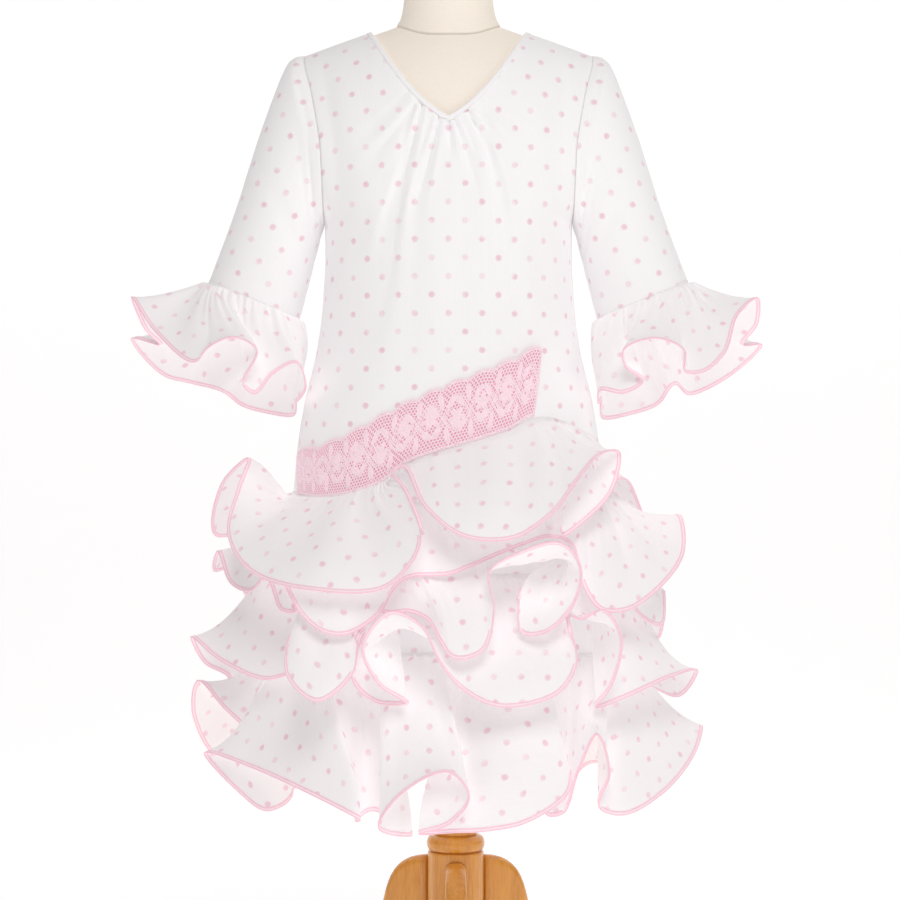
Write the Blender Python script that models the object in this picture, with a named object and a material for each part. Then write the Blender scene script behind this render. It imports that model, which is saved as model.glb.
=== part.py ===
"""A child's flamenco dress standing on a limbless dress form.

Every size is a real one. Lengths in the tables are millimetres and MM turns them into metres.
The frame used while building has x across (+ is the side on the right hand of someone who faces
the dress), "forward" towards the person who faces the dress (that is -Y) and up from the floor.
The last step moves everything so that the middle of the whole object's box stands on the origin.
"""

from collections import namedtuple
from math import acos, cos, hypot, pi, radians, sin, sqrt

import bpy
from mathutils import Matrix, Vector

MM = 0.001

# ---------------------------------------------------------------- driving sizes
CLOTH = 2.0  # wall of the panels and sleeves
FRILL = 1.2  # wall of the ruffles
LACE = 1.2  # wall of the lace band
SEAM_GAP = 0.3  # between two pieces sewn edge to edge
EASE = 3.4  # air between the cloth and the dress form
SHOULDER_EASE = 1.7  # and on the shoulders, which carry the dress

NECK_POINT = 77.5  # where the neckline meets the shoulder seam, from the centre line
SHOULDER_TOP = 1107.0  # height the two shoulder lines would reach at the centre line
SHOULDER_SLOPE = 0.358
SHOULDER_ROUND = 110.0  # how far below the shoulder line the chest reaches its full depth
ARMPIT = 888.0
V_POINT = 985.0  # lowest point of the neckline
BACK_NECK = 1068.0
SKIRT_END = 446.0  # lower edge of the panels, under the last ruffle
BINDING = 6.0  # width of the neck binding
BINDING_WALL = 2.8  # its thickness, folded
BINDING_PROUD = 0.6  # how far it stands out from the panels
NECK_RISE = 94.0  # from the lowest point of the neckline to the shoulder
NECK_BOW = 0.58  # how far the V's sides bow outwards: 0 is straight
FORM_END = 575.0  # lower edge of the dress form's body
FORM_NARROW = 0.95  # share of the armhole's width that the form's flat sides keep
FORM_EDGE = 7.0  # rounding of the form's lower edge
FORM_EDGE_HEIGHT = 16.0
ROUNDNESS = 2.3  # of the body's sections: 2 is an ellipse, more is squarer
SHOULDER_ARC = 95.0  # cloth over the shoulders, for each radian of their curve
NECK_SHARE = 0.581  # where a panel's neck corner lies on its half width

Section = namedtuple("Section", "height half_width front back")
BODY = (
    Section(430, 166, 118, 112),
    Section(540, 161, 115, 110),
    Section(617, 155, 110, 106),
    Section(664, 151, 107, 103),
    Section(708, 144, 103, 98),
    Section(759, 132, 97, 92),
    Section(802, 126, 92, 86),
    Section(862, 123, 89, 82),
    Section(888, 123.5, 88, 80),
    Section(905, 134, 87, 78),
    Section(950, 152, 84, 76),
    Section(1010, 162, 79, 74),
    Section(1110, 164, 76, 72),
)

Armhole = namedtuple("Armhole", "height half_width")
ARMHOLE = (
    Armhole(888, 123.5),
    Armhole(950, 125),
    Armhole(1009, 134),
    Armhole(1056, 144),
)


# ---------------------------------------------------------------- small helpers
def between(rows, key, value, column):
    """Smooth reading of a table: the value of one column where another has the given value."""
    if key <= rows[0][value]:
        return rows[0][column]
    if key >= rows[-1][value]:
        return rows[-1][column]
    index = 0
    while rows[index + 1][value] < key:
        index += 1
    low, high = rows[index], rows[index + 1]
    before = rows[max(index - 1, 0)]
    after = rows[min(index + 2, len(rows) - 1)]
    span = high[value] - low[value]
    share = (key - low[value]) / span
    step = high[column] - low[column]
    enter = slope_between(before, low, high, value, column) * span
    leave = slope_between(low, high, after, value, column) * span
    cube, square = share**3, share**2
    return (
        low[column]
        + (cube - 2 * square + share) * enter
        + (3 * square - 2 * cube) * step
        + (cube - square) * leave
    )


def slope_between(a, b, c, value, column):
    """Slope at row b: none at a turning point, otherwise the gentler mean of its two sides."""
    if a is b or b is c:
        return 0.0
    first = (b[column] - a[column]) / (b[value] - a[value])
    second = (c[column] - b[column]) / (c[value] - b[value])
    if first * second <= 0:
        return 0.0
    return 2 * first * second / (first + second)


def shoulder_height(across):
    return SHOULDER_TOP - SHOULDER_SLOPE * sqrt(across**2 + 15.0**2)


def body_depth(across, height, side):
    """How far the dress reaches forward (side +1) or back (side -1) at a place on its width."""
    width = between(BODY, height, 0, 1)
    depth = between(BODY, height, 0, 2 if side > 0 else 3)
    share = min(abs(across) / width, 1.0)
    round_off = max(1.0 - share**ROUNDNESS, 0.0) ** (1 / ROUNDNESS)
    drop = min(max((shoulder_height(across) - height) / SHOULDER_ROUND, 0.0), 1.0)
    return depth * round_off * sqrt(1.0 - (1.0 - drop) ** 2)


def body_fullness(across, forward, height, high):
    """Grows outwards and keeps one value all over the dress; high is for the curve of the shoulders."""
    side = 1 if forward >= 0 else -1
    width = between(BODY, height, 0, 1)
    depth = between(BODY, height, 0, 2 if side > 0 else 3)
    rise = 1.0 - min((shoulder_height(across) - height) / SHOULDER_ROUND, 1.0)
    share = (abs(across) / width) ** ROUNDNESS
    if high:
        return (forward / (depth * (1.0 - share) ** (1 / ROUNDNESS))) ** 2 + rise**2
    return share + (abs(forward) / (depth * sqrt(1.0 - rise**2))) ** ROUNDNESS


def body_normal(point, side):
    """Outward direction of the body at a point of its front (side +1) or back (side -1)."""
    across, forward, height = point.x, side * max(side * point.y, 0.5), point.z
    high = shoulder_height(across) - height < 0.5 * SHOULDER_ROUND
    step = 0.3
    slope = Vector([
        body_fullness(across + dx, forward + dy, height + dz, high)
        - body_fullness(across - dx, forward - dy, height - dz, high)
        for dx, dy, dz in ((step, 0, 0), (0, step, 0), (0, 0, step))
    ])
    return slope.normalized()


def edge_half_width(height):
    if height <= ARMPIT:
        return between(BODY, height, 0, 1)
    return between(ARMHOLE, height, 0, 1)


def body_point(degrees, height, out=0.0):
    """A point of the dress's outer face; 0 degrees is the front, 90 the viewer's right side."""
    width = between(BODY, height, 0, 1)
    turn = radians(degrees)
    across = width * sin(turn)
    side = 1 if cos(turn) >= 0 else -1
    forward = side * body_depth(across, height, side)
    return Vector((across + out * sin(turn), forward + out * cos(turn), height))


# ---------------------------------------------------------------- meshes
def in_metres(point):
    return (point[0] * MM, -point[1] * MM, point[2] * MM)


def new_object(name, points, faces, material):
    mesh = bpy.data.meshes.new(name)
    mesh.from_pydata([in_metres(p) for p in points], [], faces)
    mesh.materials.append(material)
    mesh.shade_smooth()
    made = bpy.data.objects.new(name, mesh)
    bpy.context.scene.collection.objects.link(made)
    return made


def grid_faces(grid, closed):
    """Triangles of a grid whose points run along each row, each quad cut along its shorter diagonal."""
    rows, columns = len(grid), len(grid[0])
    faces = []
    for row in range(rows - 1):
        for column in range(columns if closed else columns - 1):
            right = (column + 1) % columns
            a, b = row * columns + column, row * columns + right
            c, d = (row + 1) * columns + right, (row + 1) * columns + column
            falling = (grid[row][column] - grid[row + 1][right]).length
            rising = (grid[row][right] - grid[row + 1][column]).length
            if falling <= rising:
                faces += [(a, b, c), (a, c, d)]
            else:
                faces += [(a, b, d), (b, c, d)]
    return faces


def sheet(name, grid, material, thickness, closed=False, offset=0.0):
    """A wall of cloth from a grid of points; offset -1 keeps the grid as its outer face."""
    points = [point for row in grid for point in row]
    made = new_object(name, points, grid_faces(grid, closed), material)
    wall = made.modifiers.new("wall", "SOLIDIFY")
    wall.thickness = thickness * MM
    wall.offset = offset
    return made


def finish(name, colour, roughness):
    material = bpy.data.materials.new(name)
    material.use_nodes = True
    shader = material.node_tree.nodes["Principled BSDF"]
    shader.inputs["Base Color"].default_value = (*colour, 1.0)
    shader.inputs["Roughness"].default_value = roughness
    return material


# ---------------------------------------------------------------- ruffles
Fold = namedtuple("Fold", "root across forward up lean spring", defaults=(48,))


def hem_samples(folds, count, turn=360.0):
    """Reads a closed table of folds as a smooth curve, with the same number of steps for each fold."""
    total = len(folds)
    lengths = []
    for index, fold in enumerate(folds):
        after = folds[(index + 1) % total]
        lengths.append(
            sqrt(hypot(hypot(after.across - fold.across, after.forward - fold.forward), after.up - fold.up))
        )
    samples = []
    for step in range(count):
        place = step * total / count
        index = int(place)
        share = place - index
        picked = [folds[(index + shift) % total] for shift in (-1, 0, 1, 2)]
        spans = [lengths[(index + shift) % total] for shift in (-1, 0, 1)]
        reading = []
        for column in range(len(folds[0])):
            values = [fold[column] for fold in picked]
            if column == 0:
                wrapped = index + 1 >= total
                values[0] -= turn if index == 0 else 0.0
                values[2] += turn if wrapped else 0.0
                values[3] += turn if index + 2 >= total else 0.0
                reading.append(values[1] + (values[2] - values[1]) * share)
                continue
            reading.append(smooth_step(values, spans, share))
        samples.append(Fold(*reading))
    return samples


def smooth_step(values, spans, share):
    """Cubic through values[1] and values[2], its ends sloping as the neighbours do."""
    before, low, high, after = values
    first = (low - before) / spans[0]
    middle = (high - low) / spans[1]
    last = (after - high) / spans[2]
    enter = (first * spans[1] + middle * spans[0]) / (spans[0] + spans[1]) * spans[1]
    leave = (middle * spans[2] + last * spans[1]) / (spans[1] + spans[2]) * spans[1]
    cube, square = share**3, share**2
    return (
        low
        + (cube - 2 * square + share) * enter
        + (3 * square - 2 * cube) * (high - low)
        + (cube - square) * leave
    )


PROUD = 0.9  # degrees of spring lost for each millimetre a fold stands out from its neighbours
SEAM_PULL = 0.33  # how far a fold keeps the direction it leaves the seam in, as a share of its length
HEM_PULL = 0.36  # and the direction in which it reaches its hem


def ruffle_grid(folds, root_point, around, down):
    """Rows of points from the seam to the hem: out of the seam, over, and into the hem's lean.

    A fold that reaches further out than its neighbours springs from the seam, a tuck hangs from it.
    """
    hem = hem_samples(folds, around)
    roots = [root_point(fold.root) for fold in hem]
    ends = [Vector((fold.across, fold.forward, fold.up)) for fold in hem]
    reaches = [(end - start).dot(outward) for end, (start, outward) in zip(ends, roots)]
    near = max(around // 14, 2)
    grid = [[] for _ in range(down + 1)]
    for index, (fold, end) in enumerate(zip(hem, ends)):
        start, outward = roots[index]
        beside = [reaches[(index + shift) % around] for shift in range(-near, near + 1)]
        proud = reaches[index] - sum(beside) / len(beside)
        angle = radians(min(max(fold.spring - PROUD * proud, 8.0), 86.0))
        reach = end - start
        length = reach.length
        flat = Vector((reach.x, reach.y, 0))
        flat = (flat.normalized() + 0.6 * outward).normalized() if flat.length > 1 else outward
        leave = outward * cos(angle) - Vector((0, 0, sin(angle)))
        arrive = flat * sin(radians(fold.lean)) - Vector((0, 0, cos(radians(fold.lean))))
        first = start + leave * length * SEAM_PULL
        curl = 1.0 + 0.7 * max(fold.lean - 90.0, 0.0) / 60.0
        second = end - arrive * length * HEM_PULL * curl
        for row in range(down + 1):
            t = row / down
            s = 1 - t
            point = start * s**3 + first * 3 * s * s * t + second * 3 * s * t * t + end * t**3
            grid[row].append(point)
    return grid


def back_folds(height, reach, crest_first=True, count=8, first=118.0, last=240.0):
    """Rows for the side that faces away: forward folds low, tucks between them high."""
    rows = []
    for index in range(count):
        root = first + (last - first) * index / (count - 1)
        crest = (index % 2 == 0) == crest_first
        out = reach * (1.0 if crest else 0.62) + 4.0 * sin(2.3 * index + height)
        up = height + (0.0 if crest else 34.0) + 7.0 * cos(1.7 * index + height)
        place = body_point(root, height + 100.0, out)
        rows.append(Fold(root, place.x, place.y, up, 18 if crest else 42, 60 if crest else 55))
    return tuple(rows)


Root = namedtuple("Root", "degrees height")

RUFFLES = {
    "ruffle_1": (
        (
            Root(-180, 636), Root(-90, 617), Root(-50, 616), Root(-24, 630), Root(-13, 648),
            Root(0, 660), Root(22, 677), Root(38, 690), Root(60, 678), Root(90, 660), Root(180, 636),
        ),
        (
            Fold(-108, -238, -45, 575, 20),
            Fold(-98, -228, -8, 628, 50),
            Fold(-90, -199, 20, 654, 95),
            Fold(-80, -206, 50, 625, 60),
            Fold(-68, -213, 80, 583, 35),
            Fold(-55, -188, 125, 548, 25),
            Fold(-38, -125, 180, 533, 20),
            Fold(-28, -57, 189, 536, 20),
            Fold(-24, -26, 182, 574, 30),
            Fold(-22, -40, 146, 622, 45),
            Fold(-20, -53, 119, 641, 60),
            Fold(-17, -43, 119, 646, 60),
            Fold(-13, -22, 165, 609, 45),
            Fold(0, 15, 187, 582, 25),
            Fold(18, 61, 186, 581, 25),
            Fold(30, 98, 172, 605, 40),
            Fold(38, 121, 152, 634, 60, 30),
            Fold(45, 144, 118, 658, 85, 20),
            Fold(50, 165, 88, 659, 100, 12),
            Fold(54, 160, 96, 630, 60, 40),
            Fold(58, 146, 115, 610, 37, 60),
            Fold(62, 107, 145, 581, 24, 57),
            Fold(66, 121, 111, 609, 27, 71),
            Fold(74, 150, 88, 626, 50, 60),
            Fold(84, 171, 40, 634, 60),
            Fold(96, 186, -10, 622, 60),
            *back_folds(556, 84),
        ),
    ),
    "ruffle_2": (
        (Root(-180, 610), Root(-90, 598), Root(-20, 606), Root(40, 622), Root(90, 622), Root(180, 610)),
        (
            Fold(-112, -215, -75, 540, 25),
            Fold(-100, -236, -10, 541, 30),
            Fold(-90, -228, 25, 562, 80),
            Fold(-80, -212, 65, 533, 40),
            Fold(-72, -190, 95, 527, 30),
            Fold(-66, -173, 112, 540, 45),
            Fold(-61, -157, 135, 511, 20, 60),
            Fold(-57, -143, 142, 511, 15, 75),
            Fold(-52, -152, 152, 534, 45, 45),
            Fold(-46, -137, 162, 510, 20, 30),
            Fold(-40, -116, 174, 494, 12, 30),
            Fold(-35, -94, 178, 492, 10, 30),
            Fold(-29, -66, 170, 508, 20, 35),
            Fold(-24, -50, 156, 533, 40, 45),
            Fold(-18, -36, 152, 543, 30),
            Fold(-8, 0, 160, 546, 25),
            Fold(0, 22, 161, 554, 30),
            Fold(12, 50, 155, 566, 40),
            Fold(22, 75, 144, 575, 50),
            Fold(32, 96, 130, 580, 50),
            Fold(40, 117, 129, 572, 40),
            Fold(46, 127, 140, 534, 15),
            Fold(54, 142, 147, 513, 15),
            Fold(62, 166, 138, 511, 20),
            Fold(72, 198, 112, 528, 30),
            Fold(82, 228, 70, 562, 60),
            Fold(90, 228, 34, 598, 95),
            Fold(102, 206, -22, 566, 40),
            *back_folds(508, 84, False),
        ),
    ),
    "ruffle_3": (
        (Root(-180, 580), Root(-90, 575), Root(0, 578), Root(90, 588), Root(180, 580)),
        (
            Fold(-112, -205, -70, 512, 25),
            Fold(-98, -194, -15, 550, 50),
            Fold(-82, -186, 45, 553, 50),
            Fold(-64, -158, 92, 546, 45),
            Fold(-50, -122, 130, 536, 40),
            Fold(-40, -90, 146, 522, 30),
            Fold(-31, -58, 156, 510, 25),
            Fold(-23, -36, 159, 511, 20),
            Fold(-17, -19, 168, 504, 15),
            Fold(-12, -7, 182, 485, 12),
            Fold(-7, 3, 191, 472, 10),
            Fold(-2, 17, 192, 471, 10),
            Fold(5, 34, 190, 480, 12),
            Fold(10, 42, 183, 515, 30, 50),
            Fold(14, 38, 183, 550, 100, 60),
            Fold(20, 62, 188, 567, 130, 58),
            Fold(29, 103, 187, 577, 132, 52),
            Fold(35, 122, 182, 554, 90, 25),
            Fold(39, 115, 178, 518, 40, 25),
            Fold(43, 90, 181, 494, 26, 33),
            Fold(46, 68, 169, 493, 1, 35),
            Fold(49, 66, 162, 523, 31, 53),
            Fold(54, 79, 131, 541, 53, 28),
            Fold(60, 113, 103, 556, 68, 60),
            Fold(67, 156, 100, 535, 38, 53),
            Fold(76, 188, 82, 500, 20),
            Fold(84, 208, 60, 492, 20),
            Fold(94, 214, 20, 522, 45),
            *back_folds(468, 80),
        ),
    ),
    "ruffle_4": (
        (Root(-180, 545), Root(-90, 553), Root(0, 540), Root(90, 540), Root(180, 545)),
        (
            Fold(-108, -225, -40, 432, 20),
            Fold(-98, -246, -15, 448, 40),
            Fold(-90, -256, 12, 476, 80),
            Fold(-78, -220, 62, 456, 45),
            Fold(-68, -168, 110, 444, 30, 70),
            Fold(-61, -126, 124, 470, 30, 84),
            Fold(-54, -131, 128, 500, 40, 62),
            Fold(-48, -150, 152, 479, 30, 40),
            Fold(-44, -149, 168, 452, 15, 25),
            Fold(-39, -120, 186, 431, 10, 25),
            Fold(-34, -88, 184, 456, 15, 25),
            Fold(-31, -83, 175, 489, 30, 35),
            Fold(-28, -78, 158, 494, 35, 60),
            Fold(-25, -90, 158, 450, 10, 84),
            Fold(-22, -68, 163, 428, 10, 84),
            Fold(-19, -40, 170, 428, 15, 76),
            Fold(-16, -64, 182, 446, 40, 60),
            Fold(-12, -79, 188, 482, 100, 60),
            Fold(-7, -54, 191, 514, 145, 66),
            Fold(-2, -26, 192, 503, 140, 66),
            Fold(3, -8, 189, 468, 70, 55),
            Fold(8, 12, 187, 443, 20, 50),
            Fold(14, 47, 193, 427, 10, 52),
            Fold(22, 100, 187, 438, 15, 48),
            Fold(28, 118, 179, 464, 25, 35),
            Fold(32, 114, 170, 495, 40, 45),
            Fold(36, 113, 157, 507, 50, 62),
            Fold(40, 124, 154, 504, 75, 70),
            Fold(45, 145, 170, 514, 130, 62),
            Fold(50, 161, 166, 486, 70, 50),
            Fold(54, 151, 155, 440, 20, 55),
            Fold(58, 138, 146, 421, 10, 70),
            Fold(65, 168, 136, 430, 20),
            Fold(76, 212, 95, 444, 50),
            Fold(87, 246, 30, 444, 80),
            Fold(98, 232, -15, 414, 35),
            *back_folds(392, 86, False),
        ),
    ),
    "ruffle_5": (
        (Root(-180, 462), Root(-90, 460), Root(0, 466), Root(90, 460), Root(180, 462)),
        (
            Fold(-112, -235, -55, 345, 15),
            Fold(-100, -259, -28, 395, 50),
            Fold(-93, -251, -5, 431, 100),
            Fold(-85, -222, 22, 406, 60),
            Fold(-79, -186, 28, 372, 25, 80),
            Fold(-74, -152, 62, 326, 10, 84),
            Fold(-70, -176, 74, 313, 5, 75),
            Fold(-66, -206, 66, 332, 10, 60),
            Fold(-61, -238, 57, 366, 70, 20),
            Fold(-54, -190, 105, 360, 50, 25),
            Fold(-44, -125, 163, 341, 30, 35),
            Fold(-37, -82, 187, 323, 10, 40),
            Fold(-32, -86, 160, 318, 5, 70),
            Fold(-28, -70, 148, 325, 10, 84),
            Fold(-24, -34, 158, 304, 0, 84),
            Fold(-19, -64, 188, 315, 20, 50),
            Fold(-14, -43, 199, 348, 50, 25),
            Fold(-7, 0, 205, 369, 70, 20),
            Fold(-2, 19, 204, 346, 45, 30),
            Fold(2, 1, 195, 320, 15, 55),
            Fold(5, -27, 184, 309, 0, 78),
            Fold(9, 4, 181, 310, 0, 66),
            Fold(13, 34, 191, 313, 0, 50),
            Fold(18, 72, 191, 321, 5, 40),
            Fold(27, 110, 178, 345, 20, 30),
            Fold(32, 113, 162, 362, 30, 55),
            Fold(36, 91, 152, 322, 5, 84),
            Fold(41, 108, 144, 322, 5, 84),
            Fold(46, 121, 158, 362, 45, 60),
            Fold(50, 138, 171, 399, 90, 25),
            Fold(54, 150, 162, 362, 30, 40),
            Fold(58, 141, 150, 328, 5, 70),
            Fold(65, 163, 143, 320, 5),
            Fold(75, 205, 105, 335, 20),
            Fold(84, 240, 55, 365, 40),
            Fold(92, 252, 15, 388, 70),
            Fold(104, 235, -40, 345, 25),
            *back_folds(302, 86),
        ),
    ),
}

CUFFS = {
    "cuff_ruffle_left": (
        Fold(-90, -313, 28, 813, 85),
        Fold(-74, -285, 62, 777, 60),
        Fold(-58, -243, 98, 746, 30),
        Fold(-48, -230, 97, 760, 60),
        Fold(-38, -205, 101, 770, 80, 35),
        Fold(-26, -183, 101, 757, 60, 35),
        Fold(-13, -197, 90, 725, 30, 60),
        Fold(0, -186, 88, 716, 15),
        Fold(14, -168, 86, 736, 40),
        Fold(30, -146, 83, 746, 50),
        Fold(46, -138, 72, 724, 20),
        Fold(66, -150, 40, 708, 8),
        Fold(90, -153, -5, 712, 5),
        Fold(110, -158, -42, 697, 5),
        Fold(126, -182, -66, 699, 5),
        Fold(140, -212, -70, 707, 12),
        Fold(156, -230, -46, 721, 38),
        Fold(182, -266, -78, 731, 20),
        Fold(198, -292, -66, 738, 25),
        Fold(210, -312, -50, 757, 45),
        Fold(222, -322, -35, 775, 80),
        Fold(240, -290, -8, 768, 60),
        Fold(256, -302, 10, 782, 70),
    ),
    "cuff_ruffle_right": (
        Fold(-90, 153, -5, 712, 5),
        Fold(-68, 147, 40, 708, 8),
        Fold(-52, 148, 68, 720, 15),
        Fold(-38, 170, 83, 717, 15),
        Fold(-26, 187, 88, 728, 30),
        Fold(-16, 170, 92, 742, 45),
        Fold(-4, 168, 96, 758, 60),
        Fold(12, 198, 101, 769, 80),
        Fold(28, 226, 99, 757, 60),
        Fold(38, 227, 96, 737, 30),
        Fold(48, 245, 92, 737, 35),
        Fold(60, 268, 76, 757, 50),
        Fold(74, 282, 55, 793, 75),
        Fold(86, 305, 32, 812, 90),
        Fold(98, 308, 8, 788, 70),
        Fold(110, 296, -10, 768, 55),
        Fold(124, 318, -34, 768, 75),
        Fold(139, 290, -56, 739, 38),
        Fold(160, 250, -76, 719, 12),
        Fold(172, 231, -52, 729, 40),
        Fold(186, 216, -70, 709, 12),
        Fold(204, 185, -62, 698, 8),
        Fold(230, 158, -46, 694, 5),
    ),
}

Place = namedtuple("Place", "across up")
SLEEVE_OUTER = (
    Place(144, 1055.6), Place(154.5, 1053), Place(165.5, 1038),
    Place(189.5, 974), Place(213.5, 899), Place(239.5, 829),
)
SLEEVE_INNER = (Place(124.5, 887), Place(135.5, 843), Place(148.5, 793))
SLEEVE_DEPTH = 41.0  # half the sleeve's depth at its end
SLEEVE_FULL = 52.0  # and near the shoulder


def ruffle_root(heights, thickness):
    """The line on the dress that a ruffle hangs from, just clear of the panel."""
    clear = SEAM_GAP + thickness / 2 + 0.3

    def place(degrees):
        wrapped = (degrees + 180.0) % 360.0 - 180.0
        height = between(heights, wrapped, 0, 1)
        point = body_point(wrapped, height, clear)
        turn = radians(wrapped)
        return point, Vector((sin(turn), cos(turn), 0))

    return place


def cuff_root(side):
    """The end of a sleeve as a ring; 0 degrees is its front, 90 the viewer's right."""
    outer, inner = SLEEVE_OUTER[-1], SLEEVE_INNER[-1]
    centre = Vector((side * (outer[0] + inner[0]) / 2, 0, (outer[1] + inner[1]) / 2))
    half = Vector((side * (inner[0] - outer[0]) / 2, 0, (inner[1] - outer[1]) / 2))
    if side > 0:
        half = -half
    down = Vector((half.z, 0, -half.x)).normalized()
    if down.z > 0:
        down = -down

    def place(degrees):
        turn = radians(degrees)
        outward = (half.normalized() * sin(turn) + Vector((0, 1, 0)) * cos(turn)).normalized()
        point = centre + half * sin(turn) + Vector((0, SLEEVE_DEPTH * cos(turn), 0)) + down * 1.2
        return point, outward

    return place


def build_ruffles(material):
    for name, (heights, folds) in RUFFLES.items():
        down = 4 if name == "ruffle_5" else 3
        grid = ruffle_grid(folds, ruffle_root(heights, FRILL), 5 * len(folds) // 2, down)
        sheet(name, grid, material, FRILL, closed=True)
    for name, folds in CUFFS.items():
        side = -1 if name.endswith("left") else 1
        grid = ruffle_grid(folds, cuff_root(side), 5 * len(folds) // 2, 3)
        sheet(name, grid, material, FRILL, closed=True)


# ---------------------------------------------------------------- cloth with two faces
def normals_of(grid, closed):
    """Outward direction at each point of a grid that runs rightwards along a row and down the rows."""
    rows, columns = len(grid), len(grid[0])
    found = []
    for r in range(rows):
        line = []
        for c in range(columns):
            left = grid[r][c - 1] if c > 0 or closed else grid[r][c]
            right = grid[r][(c + 1) % columns] if c + 1 < columns or closed else grid[r][c]
            above, below = grid[max(r - 1, 0)][c], grid[min(r + 1, rows - 1)][c]
            line.append((above - below).cross(right - left).normalized())
        found.append(line)
    return found


def walled(name, outer, inner, material, closed=False):
    """A solid between two grids of the same size, with a rim round its edges."""
    rows, columns = len(outer), len(outer[0])
    points = [p for row in outer for p in row] + [p for row in inner for p in row]
    front = grid_faces(outer, closed)
    other = rows * columns
    faces = [tuple(reversed(face)) for face in front]
    faces += [tuple(index + other for index in face) for face in front]
    steps = columns if closed else columns - 1
    for c in range(steps):
        right = (c + 1) % columns
        last = (rows - 1) * columns
        faces.append((c, right, right + other, c + other))
        faces.append((last + right, last + c, last + c + other, last + right + other))
    if not closed:
        for r in range(rows - 1):
            a, b = r * columns, (r + 1) * columns
            faces.append((b, a, a + other, b + other))
            a, b = a + columns - 1, b + columns - 1
            faces.append((a, b, b + other, a + other))
    return new_object(name, points, faces, material)


# ---------------------------------------------------------------- dress panels
Crease = namedtuple("Crease", "across up across_low up_low depth width")
CREASES = (
    Crease(-11, 974, -20, 905, 2.6, 5.5),
    Crease(-28, 985, -62, 868, 2.6, 6.5),
    Crease(-45, 1005, -92, 900, 1.6, 7.0),
    Crease(3, 970, 17, 895, 2.4, 5.5),
    Crease(24, 985, 46, 880, 2.6, 6.5),
    Crease(40, 1000, 84, 905, 1.8, 7.0),
)


def gather(across, height):
    """How much deeper the creases that run out of the V's gathers make the front."""
    sunk = 0.0
    for crease in CREASES:
        along = (crease.up - height) / (crease.up - crease.up_low)
        middle = crease.across + (crease.across_low - crease.across) * along
        fade = max(0.0, 1.0 - max(along, 0.0) / 1.25) if along > -0.4 else 0.0
        width = crease.width * (1.0 + 0.7 * max(along, 0.0))
        sunk += crease.depth * fade * 2.718 ** (-(((across - middle) / width) ** 2))
    return sunk


def neck_edge(across, side, inset):
    """Height of the neckline, or of a line that runs the inset outside it."""
    across = abs(across)
    point = NECK_POINT + inset
    if side > 0:
        share = across / NECK_POINT
        rise = NECK_RISE * ((1 - NECK_BOW) * share + NECK_BOW * share**2)
        steep = NECK_RISE / NECK_POINT * (1 - NECK_BOW + 2 * NECK_BOW * share)
        return V_POINT + rise - inset * sqrt(1 + steep**2)
    return BACK_NECK - inset + (shoulder_height(point) - BACK_NECK + inset) * (across / point) ** 2


def panel_top(across, side):
    inset = BINDING + 0.5
    return min(neck_edge(across, side, inset), shoulder_height(across))


COLUMNS = (
    0, 0.06, 0.12, 0.18, 0.24, 0.31, 0.385, 0.46, 0.53, 0.566, NECK_SHARE, 0.69, 0.8, 0.9, 0.965, 1.0,
)
LOW_ROWS = (SKIRT_END, 550, 640, 700, 760, 820, ARMPIT)
HIGH_ROWS = (0.06, 0.18, 0.34, 0.5, 0.65, 0.78, 0.89, 1.0)


def row_height(across, top, share):
    """Height of a row between the armpit and the panel's top, evenly spaced along the curved cloth."""
    ridge = shoulder_height(across)
    bend = ridge - SHOULDER_ROUND
    straight = max(min(bend, top) - ARMPIT, 0.0)
    start = acos(1 - max(min((ridge - top) / SHOULDER_ROUND, 1.0), 0.0))
    curved = (pi / 2 - start) * SHOULDER_ARC
    far = share * (straight + curved)
    if far <= straight:
        return ARMPIT + far
    return ridge - SHOULDER_ROUND * (1 - cos(pi / 2 - (far - straight) / SHOULDER_ARC))


def panel_grid(side, columns=COLUMNS, low_rows=LOW_ROWS, high_rows=HIGH_ROWS):
    """The outer face of the front or back, from the shoulder down, its columns running rightwards."""
    shares = sorted({-share for share in columns} | set(columns))
    grid = []
    for row in range(len(low_rows) + len(high_rows) - 1, -1, -1):
        line = []
        for share in shares:
            if row < len(low_rows):
                height = low_rows[row]
            else:
                top = V_POINT
                for _ in range(12):
                    top = panel_top(share * edge_half_width(top), side)
                height = row_height(share * edge_half_width(top), top, high_rows[row - len(low_rows)])
            across = share * edge_half_width(height)
            depth = body_depth(across, height, side)
            if side > 0:
                depth -= gather(across, height)
            line.append(Vector((across, side * max(depth, SEAM_GAP / 2), height)))
        grid.append(line)
    return grid


def inside_of(grid, side, thickness, clear=SEAM_GAP / 2):
    """The grid moved inwards by a wall, kept on its own side of the seams."""
    moved = []
    for line in grid:
        row = []
        for point in line:
            inner = point - body_normal(point, side) * thickness
            inner.y = side * max(side * inner.y, clear)
            row.append(inner)
        moved.append(row)
    return moved


BACK_COLUMNS = (0, 0.14, 0.28, 0.41, 0.5, 0.55, NECK_SHARE, 0.69, 0.8, 0.9, 0.965, 1.0)


def build_panel(name, side, material):
    grid = panel_grid(side, COLUMNS if side > 0 else BACK_COLUMNS)
    inner = inside_of(grid, side, CLOTH)
    if side < 0:
        grid, inner = inner, grid
    return walled(name, grid, inner, material)


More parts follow.
